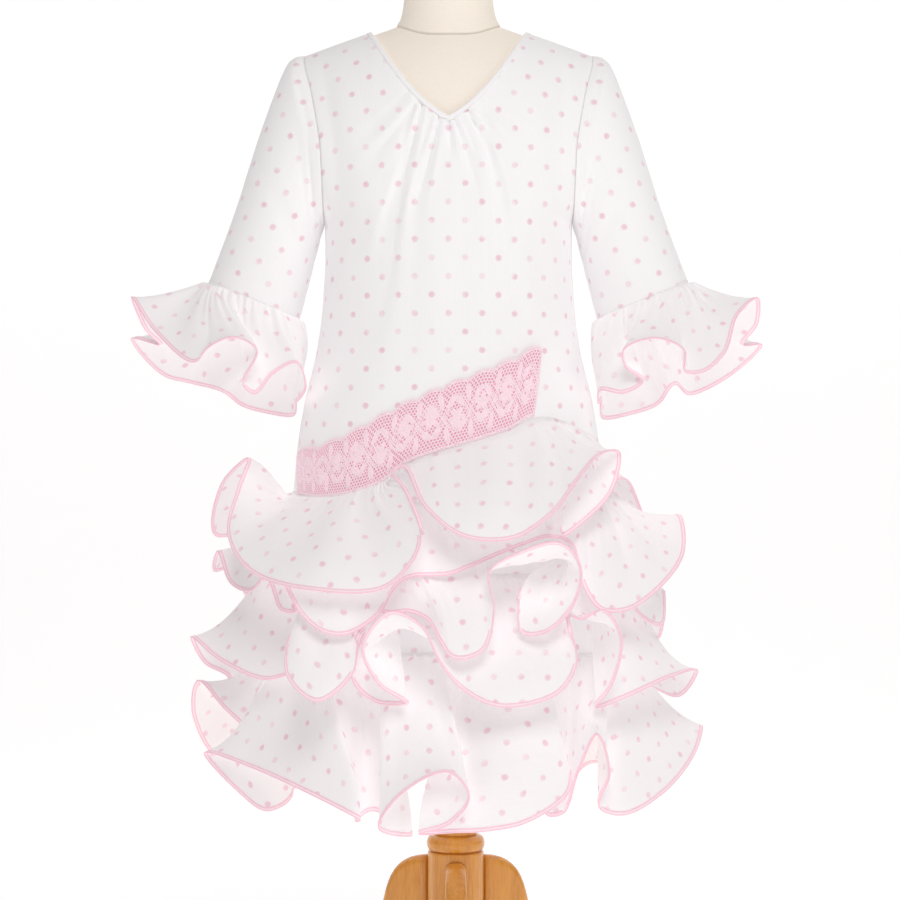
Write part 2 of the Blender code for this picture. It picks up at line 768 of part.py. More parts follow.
# ---------------------------------------------------------------- neck binding
def build_binding(material):
    """A folded strip round the neckline; four corners to each section."""
    front = [(1, share / NECK_SHARE) for share in COLUMNS if share <= NECK_SHARE]
    back = [(-1, share / NECK_SHARE) for share in reversed(BACK_COLUMNS) if share < NECK_SHARE]
    ring = front + back
    ring += [(side, -share) for side, share in back[-2::-1]]
    ring += [(side, -share) for side, share in front[:0:-1]]
    outer, inner = ([], []), ([], [])
    for side, share in ring:
        for row, inset in enumerate((0.0, BINDING)):
            across = share * (NECK_POINT + inset)
            height = min(neck_edge(across, side, inset), shoulder_height(across))
            point = Vector((across, side * body_depth(across, height, side), height))
            facing = body_normal(point, side)
            if abs(share) == 1:
                facing.y = 0
                facing.normalize()
            outer[row].append(point + facing * BINDING_PROUD)
            inner[row].append(point - facing * (BINDING_WALL - BINDING_PROUD))
    return walled("neck_binding", outer, inner, material, closed=True)


# ---------------------------------------------------------------- sleeves
def along_line(places, share):
    """A place on a polyline smoothed through its points, by share of its number of steps."""
    place = share * (len(places) - 1)
    index = min(int(place), len(places) - 2)
    last = len(places) - 1
    picked = [places[min(max(index + shift, 0), last)] for shift in (-1, 0, 1, 2)]
    rest = place - index
    return Place(*(smooth_step([p[column] for p in picked], (1, 1, 1), rest) for column in (0, 1)))


def sleeve_point(degrees, share):
    """Outer face of a sleeve on the viewer's right: 0 degrees is its top line, 90 its front."""
    turn = radians(degrees)
    raised = (1 + cos(turn)) / 2
    outer, inner = along_line(SLEEVE_OUTER, share), along_line(SLEEVE_INNER, share)
    across = inner.across + (outer.across - inner.across) * raised
    up = inner.up + (outer.up - inner.up) * raised
    ease = min(share / 0.3, 1.0)
    ease = ease * ease * (3 - 2 * ease)
    depth = (SLEEVE_FULL + (SLEEVE_DEPTH - SLEEVE_FULL) * share) * sin(turn)
    if ease < 1.0:
        height = ARMPIT + (shoulder_height(ARMHOLE[-1].half_width) - ARMPIT) * raised
        edge = edge_half_width(height)
        side = 1 if sin(turn) >= 0 else -1
        hole = side * body_depth(edge, height, side)
        depth = hole + (depth - hole) * ease
        straight = SLEEVE_INNER[0].across + (SLEEVE_OUTER[0].across - SLEEVE_INNER[0].across) * raised
        across += (edge + 2 * SEAM_GAP - straight) * (1 - ease)
    return Vector((across, depth, up))


SLEEVE_STATIONS = (0, 0.08, 0.18, 0.32, 0.5, 0.7, 0.86, 1.0)


def sleeve_grid(mirror, stations=SLEEVE_STATIONS, around=20):
    grid = []
    for share in stations:
        ring = []
        for index in range(around):
            point = sleeve_point(360.0 * index / around, share)
            ring.append(Vector((point.x * mirror, point.y, point.z)))
        grid.append(ring)
    return grid


def build_sleeve(name, mirror, material):
    grid = sleeve_grid(mirror)
    normals = normals_of(grid, True)
    middle = grid[-1]
    centre = sum(middle, Vector()) / len(middle)
    if normals[-1][0].dot(middle[0] - centre) < 0:
        normals = [[-n for n in row] for row in normals]
    inner = [[p - n * CLOTH for p, n in zip(line, facing)] for line, facing in zip(grid, normals)]
    for point, edge in zip(inner[0], grid[0]):
        point.x = mirror * max(mirror * point.x, mirror * edge.x)
    if mirror > 0:
        grid, inner = inner, grid
    return walled(name, grid, inner, material, closed=True)


# ---------------------------------------------------------------- lace band
Band = namedtuple("Band", "across lower upper")
LACE_BAND = (
    Band(-149, 620, 663),
    Band(-126, 617.5, 667),
    Band(-106, 619, 674),
    Band(-84, 624, 685),
    Band(-62, 633, 697),
    Band(-42, 650, 707),
    Band(-13, 660.5, 720),
    Band(32, 673, 738),
    Band(62, 682, 750),
    Band(90, 695, 763),
)
SCALLOP = 24.0  # length of one scallop of the lace's upper edge
SCALLOP_DEPTH = 4.0
LACE_REACH = 151.0  # half width of the front that the lace is laid round
LACE_FROM = -78.0  # degrees round the front where it starts
LACE_TURN = 114.6  # degrees that it covers
LACE_SLANT = 8.0  # how far its right end's foot is drawn back


def lace_grid(steps=30, rows=2):
    grid = [[] for _ in range(rows + 1)]
    for step in range(steps + 1):
        across = LACE_REACH * sin(radians(LACE_FROM + LACE_TURN * step / steps))
        lower = between(LACE_BAND, across, 0, 1)
        upper = between(LACE_BAND, across, 0, 2)
        upper -= SCALLOP_DEPTH * (1 - abs(sin(pi * (across - LACE_BAND[0].across) / SCALLOP)))
        for row in range(rows + 1):
            share = row / rows
            height = upper + (lower - upper) * share
            moved = across - LACE_SLANT * share * max(step / steps - 0.7, 0) / 0.3
            depth = body_depth(moved, height, 1)
            grid[row].append(Vector((moved, depth, height)))
    return grid


def build_lace(material):
    grid = lace_grid()
    normals = [[body_normal(point, 1) for point in line] for line in grid]
    near, far = SEAM_GAP + 0.45, SEAM_GAP + 0.45 + LACE
    inner = [[p + n * near for p, n in zip(line, facing)] for line, facing in zip(grid, normals)]
    outer = [[p + n * far for p, n in zip(line, facing)] for line, facing in zip(grid, normals)]
    return walled("lace_band", outer, inner, material)


# ---------------------------------------------------------------- dress form
FORM_COLUMNS = (0, 0.2, 0.4, 0.6, 0.78, 0.92, 1.0)
FORM_ROWS = (FORM_END, 579, 590, 640, 700, 760, 820, ARMPIT)


def form_inset(across, height):
    drop = max(shoulder_height(across) - height, 0.0) / SHOULDER_ROUND
    return CLOTH + SHOULDER_EASE + (EASE - SHOULDER_EASE) * min(drop / 0.22, 1.0)


def build_form(material):
    """The body of the dress form: it fills the dress, with flat sides where arms would start."""
    shares = sorted({-share for share in FORM_COLUMNS} | set(FORM_COLUMNS))
    rings = []
    for row in range(len(FORM_ROWS) + len(HIGH_ROWS)):
        lines = []
        for side in (1, -1):
            line = []
            for share in shares:
                if row < len(FORM_ROWS):
                    height = FORM_ROWS[row]
                    narrow = 1.0 - (1.0 - FORM_NARROW) * max(0.0, 1.0 - abs(height - ARMPIT) / 40.0)
                else:
                    top = 1060.0
                    for _ in range(12):
                        top = shoulder_height(share * edge_half_width(top))
                    step = HIGH_ROWS[row - len(FORM_ROWS)]
                    height = row_height(share * edge_half_width(top), top, step)
                    narrow = FORM_NARROW
                trim = FORM_EDGE * max(0.0, 1.0 - (height - FORM_END) / FORM_EDGE_HEIGHT) ** 2
                across = share * edge_half_width(height) * narrow
                point = Vector((across, side * max(body_depth(across, height, side), 0.4), height))
                point -= body_normal(point, side) * (form_inset(across, height) + trim)
                if row < len(FORM_ROWS):
                    point.z = height
                point.y = side * max(side * point.y, 0.4)
                line.append(point)
            lines.append(line)
        rings.append(lines[0] + lines[1][::-1])
    columns = 2 * len(shares)
    points = [point for ring in rings for point in ring]
    faces = grid_faces(rings, True)
    last = (len(rings) - 1) * columns
    for index in range(len(shares) - 1):
        mate = columns - 1 - index
        faces.append((index + 1, index, mate, mate - 1))
        faces.append((last + index, last + index + 1, last + mate - 1, last + mate))
    return new_object("form_torso", points, faces, material)


Ring = namedtuple("Ring", "height half_width half_depth")
NECK_RINGS = (
    Ring(1090, 52.0, 47.0),
    Ring(1096, 48.3, 44.5),
    Ring(1104, 45.8, 42.6),
    Ring(1114, 44.4, 41.4),
    Ring(1132, 43.6, 40.6),
    Ring(1145, 43.2, 40.2),
    Ring(1149.5, 41.0, 38.0),
    Ring(1151, 36.0, 33.0),
)
NECK_FORWARD = 1.0  # how far the neck stands in front of the shoulder line
NECK_LIFT = 0.8  # gap between the neck's edge and the shoulders, which its cover's seam hides
NECK_HOLLOW = 3.0  # and under its middle


def form_top(across, forward):
    """Height of the form's shoulders over a place."""
    side = 1 if forward >= 0 else -1
    height = 1080.0
    for _ in range(6):
        inset = form_inset(across, height)
        ridge = shoulder_height(across) - inset
        width = between(BODY, height, 0, 1)
        full = between(BODY, height, 0, 2 if side > 0 else 3)
        full *= (1 - (abs(across) / width) ** ROUNDNESS) ** (1 / ROUNDNESS)
        share = min(abs(forward) / (full - inset), 0.999)
        height = ridge - (SHOULDER_ROUND - inset) * (1 - sqrt(1 - share**2))
    return height


def build_neck(material, around=20):
    """The form's neck: it sits on the shoulders' curve and ends in a flat top with a round edge."""
    foot, top = NECK_RINGS[0], NECK_RINGS[-1]
    turns = [2 * pi * step / around for step in range(around)]
    grid = []
    for ring in reversed(NECK_RINGS):
        share = (top.height - ring.height) / (top.height - foot.height)
        line = []
        for turn in turns:
            base = form_top(foot.half_width * sin(turn), foot.half_depth * cos(turn) + NECK_FORWARD)
            height = ring.height + (base + NECK_LIFT - foot.height) * share**3
            forward = ring.half_depth * cos(turn) + NECK_FORWARD
            line.append(Vector((ring.half_width * sin(turn), forward, height)))
        grid.append(line)
    for scale in (0.95, 0.75, 0.5, 0.25):
        line = []
        for turn in turns:
            across = scale * foot.half_width * sin(turn)
            forward = scale * foot.half_depth * cos(turn) + NECK_FORWARD
            line.append(Vector((across, forward, form_top(across, forward) + NECK_HOLLOW)))
        grid.append(line)
    points = [point for line in grid for point in line]
    faces = [face[::-1] for face in grid_faces(grid, True)]
    faces.append(tuple(range(around)))
    last = (len(grid) - 1) * around
    faces.append(tuple(last + step for step in reversed(range(around))))
    return new_object("form_neck", points, faces, material)


# ---------------------------------------------------------------- stand
STAND_AXIS = 7.2  # the stand is a little to the viewer's right of the dress
Turned = namedtuple("Turned", "radius height")
COLUMN = (
    Turned(0, 96), Turned(9, 97), Turned(16, 102), Turned(19, 110), Turned(21, 114), Turned(28, 117),
    Turned(28, 254), Turned(26.3, 256), Turned(26.3, 259), Turned(28.6, 262), Turned(29, 267),
    Turned(28, 272), Turned(24.5, 275), Turned(22.6, 278), Turned(22.6, 282), Turned(19, 285),
    Turned(15, 288), Turned(15, FORM_END - 0.5), Turned(0, FORM_END - 0.5),
)
LEG_THICK = 21.5
LEG_EDGE = 4.5  # rounding of the board's edges
LEG_OUTER = (
    Turned(28.4, 255), Turned(42, 254.5), Turned(58, 249), Turned(72, 236), Turned(81, 213),
    Turned(87, 180), Turned(99, 141), Turned(128, 96), Turned(168, 60), Turned(204, 40),
    Turned(234, 30), Turned(250, 15), Turned(250, 0),
)
LEG_INNER = (
    Turned(212, 0), Turned(194, 11), Turned(160, 26), Turned(118, 58), Turned(84, 94),
    Turned(54, 116), Turned(28.4, 124),
)


def build_column(material, around=18):
    points, faces = [], []
    for row, spot in enumerate(COLUMN):
        for step in range(around if spot.radius else 1):
            turn = 2 * pi * step / around
            across = STAND_AXIS + spot.radius * sin(turn)
            points.append(Vector((across, spot.radius * cos(turn), spot.height)))
    for step in range(around):
        right = (step + 1) % around
        faces.append((0, 1 + right, 1 + step))
        last = 1 + (len(COLUMN) - 3) * around
        faces.append((last + step, last + right, len(points) - 1))
        for row in range(len(COLUMN) - 3):
            a, b = 1 + row * around, 1 + (row + 1) * around
            faces.append((a + step, a + right, b + right, b + step))
    return new_object("stand_column", points, faces, material)


def build_leg(name, degrees, material):
    """A sawn board, its edges rounded over, reaching out from the column."""
    outline = LEG_OUTER + LEG_INNER
    turn = radians(degrees)
    out, wide = Vector((sin(turn), cos(turn), 0)), Vector((cos(turn), -sin(turn), 0))
    points = []
    for side in (-1, 1):
        for spot in outline:
            middle = Vector((STAND_AXIS, 0, spot.height)) + out * spot.radius
            points.append(middle + wide * side * LEG_THICK / 2)
    count = len(outline)
    faces = [tuple(reversed(range(count))), tuple(range(count, 2 * count))]
    for index in range(count):
        after = (index + 1) % count
        faces.append((index, after, after + count, index + count))
    made = new_object(name, points, faces, material)
    made.data.shade_flat()
    bevel = made.modifiers.new("rounded_edges", "BEVEL")
    bevel.width = LEG_EDGE * MM
    bevel.segments = 2
    bevel.limit_method = "ANGLE"
    bevel.angle_limit = radians(60)
    return made


def centre_on_origin():
    """Moves every mesh so that the middle of the whole box stands over the origin."""
    depsgraph = bpy.context.evaluated_depsgraph_get()
    low, high = [1e9, 1e9], [-1e9, -1e9]
    for thing in bpy.data.objects:
        for corner in thing.evaluated_get(depsgraph).bound_box:
            for axis in (0, 1):
                low[axis] = min(low[axis], corner[axis])
                high[axis] = max(high[axis], corner[axis])
    shift = Vector((-(low[0] + high[0]) / 2, -(low[1] + high[1]) / 2, 0))
    for thing in bpy.data.objects:
        thing.data.transform(Matrix.Translation(shift))
    return shift


def main():
    for thing in list(bpy.data.objects):
        bpy.data.objects.remove(thing)
    dotted = finish("dotted_cloth", (0.9, 0.88, 0.88), 0.8)
    bound = finish("binding_cloth", (0.92, 0.9, 0.9), 0.8)
    lace = finish("pink_lace", (0.9, 0.45, 0.56), 0.85)
    linen = finish("cream_linen", (0.86, 0.8, 0.68), 0.9)
    wood = finish("amber_wood", (0.62, 0.3, 0.1), 0.35)
    build_panel("dress_front", 1, dotted)
    build_panel("dress_back", -1, dotted)
    build_binding(bound)
    build_sleeve("sleeve_left", -1, dotted)
    build_sleeve("sleeve_right", 1, dotted)
    build_ruffles(dotted)
    build_lace(lace)
    build_form(linen)
    build_neck(linen)
    build_column(wood)
    build_leg("leg_front", 0, wood)
    build_leg("leg_left", -120, wood)
    build_leg("leg_right", 120, wood)
    return centre_on_origin()


if __name__ == "__main__":
    main()
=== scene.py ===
# %% [markdown]
# # A child's flamenco dress on its form
# The dress is white cotton with small pink dots: a straight body, three-quarter sleeves, a band of pink
# lace and five overlapping rows of circular ruffles. It stands on a limbless form with a wooden stand.
# The model of its pieces as plain solids is loaded first and is never moved or resized. Everything made
# below is a finer piece that takes the place of one of those solids.

from collections import namedtuple
from math import acos, atan, cos, hypot, pi, radians, sin, sqrt
from random import Random

import bpy
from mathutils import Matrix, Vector


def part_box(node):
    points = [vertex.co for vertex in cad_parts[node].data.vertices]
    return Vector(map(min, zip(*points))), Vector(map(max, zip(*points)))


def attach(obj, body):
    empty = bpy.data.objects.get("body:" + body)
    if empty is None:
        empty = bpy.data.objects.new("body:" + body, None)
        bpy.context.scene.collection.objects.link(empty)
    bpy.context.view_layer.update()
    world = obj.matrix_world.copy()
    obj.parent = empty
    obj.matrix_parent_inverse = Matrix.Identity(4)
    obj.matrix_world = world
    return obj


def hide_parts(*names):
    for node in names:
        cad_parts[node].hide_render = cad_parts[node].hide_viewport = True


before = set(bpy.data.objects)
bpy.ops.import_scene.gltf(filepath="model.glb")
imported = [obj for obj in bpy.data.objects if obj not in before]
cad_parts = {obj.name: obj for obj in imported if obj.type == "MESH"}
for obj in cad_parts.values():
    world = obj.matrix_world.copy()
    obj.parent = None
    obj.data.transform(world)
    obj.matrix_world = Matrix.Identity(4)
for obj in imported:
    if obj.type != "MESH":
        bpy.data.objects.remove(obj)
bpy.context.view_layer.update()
BODY_NAME = "root"
print("loaded", len(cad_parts), "solids")

# %% [markdown]
# ## One way to measure
# A dressmaker measures from the middle of the front, in millimetres. The tables below do the same:
# "across" is the distance from the middle, "forward" is towards the person who faces the dress, and "up"
# is the height over the floor. The solids' own place gives the step from there to the scene's metres,
# because the stand's column is known in both.

# %% From a dressmaker's millimetres to the scene's metres
MM = 0.001
STAND_AXIS = 7.2
low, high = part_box("stand_column")
MOVED_X = (low[0] + high[0]) / 2 - STAND_AXIS * MM
MOVED_Y = (low[1] + high[1]) / 2


def in_scene(point):
    return (point[0] * MM + MOVED_X, -point[1] * MM + MOVED_Y, point[2] * MM)


print("middle of the dress lies at", round(MOVED_X, 4), round(MOVED_Y, 4))

# %% [markdown]
# ## The form of the body
# The dress hangs straight and a little waisted. Its shape is a stack of rounded sections, given by
# height, half the width and the depth in front and behind. A curve through the rows gives every height
# between them. The shoulders close the stack: over them the depth shrinks along a quarter circle.

# %% Sections of the body
SEAM_GAP = 0.3
CLOTH = 2.0
EASE = 3.4
SHOULDER_EASE = 1.7
NECK_POINT = 77.5
SHOULDER_TOP = 1107.0
SHOULDER_SLOPE = 0.358
SHOULDER_ROUND = 110.0
ARMPIT = 888.0
V_POINT = 985.0
BACK_NECK = 1068.0
SKIRT_END = 446.0
BINDING = 4.6
NECK_RISE = 94.0
NECK_BOW = 0.58
FORM_END = 575.0
ROUNDNESS = 2.3

Section = namedtuple("Section", "height half_width front back")
BODY = (
    Section(430, 166, 118, 112),
    Section(540, 161, 115, 110),
    Section(617, 155, 110, 106),
    Section(664, 151, 107, 103),
    Section(708, 144, 103, 98),
    Section(759, 132, 97, 92),
    Section(802, 126, 92, 86),
    Section(862, 123, 89, 82),
    Section(888, 123.5, 88, 80),
    Section(905, 134, 87, 78),
    Section(950, 152, 84, 76),
    Section(1010, 162, 79, 74),
    Section(1110, 164, 76, 72),
)
Armhole = namedtuple("Armhole", "height half_width")
ARMHOLE = (Armhole(888, 123.5), Armhole(950, 125), Armhole(1009, 134), Armhole(1056, 144))


print("the dress is", 2 * BODY[3].half_width, "mm wide at the hip")


# %% Smooth reading of a table
def slope_between(a, b, c, value, column):
    """Slope at row b: none at a turning point, otherwise the gentler mean of its two sides."""
    if a is b or b is c:
        return 0.0
    first = (b[column] - a[column]) / (b[value] - a[value])
    second = (c[column] - b[column]) / (c[value] - b[value])
    if first * second <= 0:
        return 0.0
    return 2 * first * second / (first + second)


def hermite(low, high, enter, leave, share):
    cube, square = share**3, share**2
    return (
        low
        + (cube - 2 * square + share) * enter
        + (3 * square - 2 * cube) * (high - low)
        + (cube - square) * leave
    )


def between(rows, key, value, column):
    """Smooth reading of a table: the value of one column where another has the given value."""
    if key <= rows[0][value]:
        return rows[0][column]
    if key >= rows[-1][value]:
        return rows[-1][column]
    index = 0
    while rows[index + 1][value] < key:
        index += 1
    below, above = rows[index], rows[index + 1]
    before = rows[max(index - 1, 0)]
    after = rows[min(index + 2, len(rows) - 1)]
    span = above[value] - below[value]
    enter = slope_between(before, below, above, value, column) * span
    leave = slope_between(below, above, after, value, column) * span
    return hermite(below[column], above[column], enter, leave, (key - below[value]) / span)


print("half the width at the waist:", between(BODY, 840, 0, 1))


# %% The body as a surface
def shoulder_height(across):
    return SHOULDER_TOP - SHOULDER_SLOPE * sqrt(across**2 + 15.0**2)


def body_depth(across, height, side):
    """How far the dress reaches forward (side +1) or back (side -1) at a place on its width."""
    width = between(BODY, height, 0, 1)
    depth = between(BODY, height, 0, 2 if side > 0 else 3)
    share = min(abs(across) / width, 1.0)
    round_off = max(1.0 - share**ROUNDNESS, 0.0) ** (1 / ROUNDNESS)
    drop = min(max((shoulder_height(across) - height) / SHOULDER_ROUND, 0.0), 1.0)
    return depth * round_off * sqrt(1.0 - (1.0 - drop) ** 2)


def body_fullness(across, forward, height, high):
    """Grows outwards and keeps one value all over the dress; high is for the curve of the shoulders."""
    side = 1 if forward >= 0 else -1
    width = between(BODY, height, 0, 1)
    depth = between(BODY, height, 0, 2 if side > 0 else 3)
    rise = 1.0 - min((shoulder_height(across) - height) / SHOULDER_ROUND, 1.0)
    share = (abs(across) / width) ** ROUNDNESS
    if high:
        return (forward / (depth * (1.0 - share) ** (1 / ROUNDNESS))) ** 2 + rise**2
    return share + (abs(forward) / (depth * sqrt(1.0 - rise**2))) ** ROUNDNESS


def body_normal(point, side):
    """Outward direction of the body at a point of its front (side +1) or back (side -1)."""
    across, forward, height = point.x, side * max(side * point.y, 0.5), point.z
    high = shoulder_height(across) - height < 0.5 * SHOULDER_ROUND
    step = 0.3
    slope = [
        body_fullness(across + dx, forward + dy, height + dz, high)
        - body_fullness(across - dx, forward - dy, height - dz, high)
        for dx, dy, dz in ((step, 0, 0), (0, step, 0), (0, 0, step))
    ]
    return Vector(slope).normalized()


def edge_half_width(height):
    if height <= ARMPIT:
        return between(BODY, height, 0, 1)
    return between(ARMHOLE, height, 0, 1)


def body_point(degrees, height, out=0.0):
    """A point of the dress's outer face; 0 degrees is the front, 90 the viewer's right side."""
    width = between(BODY, height, 0, 1)
    turn = radians(degrees)
    across = width * sin(turn)
    side = 1 if cos(turn) >= 0 else -1
    forward = side * body_depth(across, height, side)
    return Vector((across + out * sin(turn), forward + out * cos(turn), height))


print("the back reaches", round(-body_point(180, ARMPIT).y, 1), "mm behind the arms")

# %% [markdown]
# ## Cloth as a grid with a pattern piece
# Each piece of cloth is a grid of points. A second grid says where each point lay on the flat cloth
# before it was sewn. It is kept as the UV map "cut", in metres, so that dots stay round and 6 mm wide and
# the ribs of the weave follow the cut, as they do when real cloth is cut out and sewn. A Solidify
# modifier gives the sheet its thickness.

# %% Helpers that make cloth
CLOTH_MADE = 0.7  # real thickness of the cotton
SMALLEST_SHARE = 0.31  # of a sheet's long and wide sides, that a declared area may be


def keep(piece, node_names):
    """Parents a finished piece to the dress's empty, so that it rides with the dress, and hides the solids
    of the model that it stands for.
    """
    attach(piece, BODY_NAME)
    if node_names:
        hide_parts(*node_names)


def into_scene(name, data):
    """Puts a mesh, a lamp or a camera into the scene as an object."""
    thing = bpy.data.objects.new(name, data)
    bpy.context.scene.collection.objects.link(thing)
    return thing


def new_piece(name, points, faces, material):
    mesh = bpy.data.meshes.new(name)
    mesh.from_pydata([in_scene(p) for p in points], [], faces)
    mesh.materials.append(material)
    mesh.shade_smooth()
    return into_scene(name, mesh)


def face_outwards(piece):
    """Turns the faces of a closed piece round when the volume that they enclose is negative."""
    mesh = piece.data
    mesh.calc_loop_triangles()
    spots = [vertex.co for vertex in mesh.vertices]
    volume = 0.0
    for triangle in mesh.loop_triangles:
        one, two, three = (spots[index] for index in triangle.vertices)
        volume += one.dot(two.cross(three))
    if volume < 0:
        mesh.flip_normals()


# %% Cloth from a grid
def grid_quads(rows, columns, closed, rightwards):
    """Faces of a grid whose rows run down; rightwards means its columns run right on the outer side."""
    quads = []
    for row in range(rows - 1):
        for column in range(columns if closed else columns - 1):
            right = (column + 1) % columns
            above, below = row * columns, (row + 1) * columns
            quad = (above + column, below + column, below + right, above + right)
            quads.append(quad if rightwards else quad[::-1])
    return quads


def cloth_piece(name, grid, cut, material, closed=False, rightwards=True, thick=CLOTH_MADE, offset=-1.0):
    """A sheet of cloth; cut has one more column than a closed grid, for the seam."""
    rows, columns = len(grid), len(grid[0])
    quads = grid_quads(rows, columns, closed, rightwards)
    piece = new_piece(name, [p for row in grid for p in row], quads, material)
    layer = piece.data.uv_layers.new(name="cut")
    flat = []
    for row in range(rows - 1):
        for column in range(columns if closed else columns - 1):
            corners = [
                cut[row][column], cut[row + 1][column], cut[row + 1][column + 1], cut[row][column + 1],
            ]
            for place in corners if rightwards else corners[::-1]:
                flat += (place[0] * MM, place[1] * MM)
    layer.data.foreach_set("uv", flat)
    wall = piece.modifiers.new("thickness", "SOLIDIFY")
    wall.thickness = thick * MM
    wall.offset = offset
    wall.use_even_offset = False
    return piece


print("cotton is made", CLOTH_MADE, "mm thick")


# %% Measure cloth
def lengths_along(line):
    """How far each point lies from the first, measured along the line."""
    run = [0.0]
    for one, other in zip(line, line[1:]):
        run.append(run[-1] + (other - one).length)
    return run


def part_beside(step, way, beside):
    """Length of a step without its part in the direction beside; negative when it runs against way."""
    size = sqrt(max(step.length_squared - step.dot(beside) ** 2, 0.0))
    return size if step.dot(way) >= 0 else -size


def grid_normal(grid, row, column, closed=False):
    """Direction square to the cloth at a point of its grid, by its neighbours down and beside it."""
    left, right = column - 1, column + 1
    if closed:
        right %= len(grid[0])
    else:
        left, right = max(left, 0), min(right, len(grid[0]) - 1)
    down = grid[min(row + 1, len(grid) - 1)][column] - grid[max(row - 1, 0)][column]
    return down.cross(grid[row][right] - grid[row][left]).normalized()


def grain_cut(grid, across_at, middle, level, level_row):
    """Pattern piece of a curved panel, measured along its grain.

    across_at(row, column) is the direction across the grain at a point. Distances across are added up
    along each row from the middle column, distances down along each column from the level row.
    """
    rows, columns = len(grid), len(grid[0])
    ways = [[across_at(r, c) for c in range(columns)] for r in range(rows)]
    facing = [[grid_normal(grid, r, c) for c in range(columns)] for r in range(rows)]
    downs = [[facing[r][c].cross(ways[r][c]).normalized() for c in range(columns)] for r in range(rows)]
    if downs[rows // 2][middle].z > 0:
        downs = [[-down for down in line] for line in downs]
    cut = []
    for row in range(rows):
        runs = [0.0]
        for column in range(columns - 1):
            step = grid[row][column + 1] - grid[row][column]
            runs.append(runs[-1] + part_beside(step, ways[row][column], downs[row][column]))
        cut.append([[run - runs[middle], 0.0] for run in runs])
    for column in range(columns):
        falls = [0.0]
        for row in range(rows - 1):
            step = grid[row + 1][column] - grid[row][column]
            falls.append(falls[-1] + part_beside(step, downs[row][column], ways[row][column]))
        for row in range(rows):
            cut[row][column][1] = level - (falls[row] - falls[level_row])
    return cut


def area_of(grid, closed=False):
    """Area of a grid of cloth in square metres."""
    total = 0.0
    columns = len(grid[0])
    for upper, lower in zip(grid, grid[1:]):
        for column in range(columns if closed else columns - 1):
            right = (column + 1) % columns
            a, b, c, d = upper[column], upper[right], lower[right], lower[column]
            total += ((c - a).cross(b - a).length + (d - a).cross(c - a).length) / 2
    return total * MM * MM


def declare(piece, grid, closed=False):
    """Prints what size the cloth was cut to: its widest row, its length and its area."""
    wide = max(lengths_along(row + [row[0]] if closed else row)[-1] for row in grid) * MM
    columns = range(0, len(grid[0]), 8)
    tall = max(lengths_along([row[column] for row in grid])[-1] for column in columns) * MM
    area = min(max(area_of(grid, closed), SMALLEST_SHARE * wide * tall), wide * tall)
    print(f"{piece.name}: cut {wide:.2f} x {tall:.2f} m, {area:.3f} square metres")


print("one square of a grid:", area_of([[Vector((x, y, 0)) for x in (0, 1)] for y in (0, 1)]))

# %% [markdown]
# ## Finishes
# Small effects that several finishes share are node groups: the printed dots, the ribbed weave, the yarn
# of knitted or twisted thread, and the grain of wood. Each material places them with its own values.

# %% Helpers that build nodes
def feed(tree, socket, value):
    """Links a socket to another, or sets its value."""
    if isinstance(value, bpy.types.NodeSocket):
        tree.links.new(value, socket)
    elif value is not None:
        socket.default_value = value


def add(tree, kind, *values, **settings):
    made = tree.nodes.new(kind)
    for name, value in settings.items():
        setattr(made, name, value)
    for socket, value in zip(made.inputs, values):
        feed(tree, socket, value)
    return made


def feed_named(tree, node, values):
    """Feeds a node's sockets by name, with _ for a space."""
    for name, value in values.items():
        feed(tree, node.inputs[name.replace("_", " ")], value)


def add_named(tree, kind, **values):
    made = tree.nodes.new(kind)
    feed_named(tree, made, values)
    return made


def maths(tree, operation, *values):
    return add(tree, "ShaderNodeMath", *values, operation=operation).outputs[0]


def vectors(tree, operation, *values):
    made = add(tree, "ShaderNodeVectorMath", *values, operation=operation)
    return made.outputs["Value" if operation == "LENGTH" else "Vector"]


print("nodes are fed by order or by name")


# %% Small effects that groups and finishes share
def noise(tree, place, scale, **values):
    return add_named(tree, "ShaderNodeTexNoise", Vector=place, Scale=scale, **values)


def wave(tree, turns):
    """A sine that repeats once for each whole turn, between 0 and 1."""
    turned = maths(tree, "MULTIPLY", turns, 2 * pi)
    return maths(tree, "MULTIPLY_ADD", maths(tree, "SINE", turned), 0.5, 0.5)


def flat_place(tree):
    """The place on the flat cloth, from the UV map of the cut, in metres."""
    made = tree.nodes.new("ShaderNodeUVMap")
    made.uv_map = "cut"
    return made.outputs[0]


def mix_colours(tree, share, one, other):
    made = tree.nodes.new("ShaderNodeMix")
    made.data_type = "RGBA"
    feed(tree, made.inputs["Factor"], share)
    feed(tree, made.inputs[6], one)
    feed(tree, made.inputs[7], other)
    return made.outputs[2]


def ramp(tree, value, low, high, reach=1.0):
    """Rises smoothly from 0 where value is low to reach where it is high."""
    made = tree.nodes.new("ShaderNodeMapRange")
    made.interpolation_type = "SMOOTHSTEP"
    for name, given in (("Value", value), ("From Min", low), ("From Max", high), ("To Max", reach)):
        feed(tree, made.inputs[name], given)
    return made.outputs[0]


def new_group(name, inputs, outputs):
    """A shader node group with named inputs and outputs."""
    group = bpy.data.node_groups.new(name, "ShaderNodeTree")
    for label, kind, value in inputs:
        socket = group.interface.new_socket(name=label, in_out="INPUT", socket_type=kind)
        socket.default_value = value
    for label, kind in outputs:
        group.interface.new_socket(name=label, in_out="OUTPUT", socket_type=kind)
    return group, group.nodes.new("NodeGroupInput").outputs, group.nodes.new("NodeGroupOutput").inputs


def place_group(tree, group, **values):
    made = tree.nodes.new("ShaderNodeGroup")
    made.node_tree = group
    feed_named(tree, made, values)
    return made.outputs


FLOAT, VECTOR = "NodeSocketFloat", "NodeSocketVector"
print("groups take", FLOAT, "and", VECTOR)


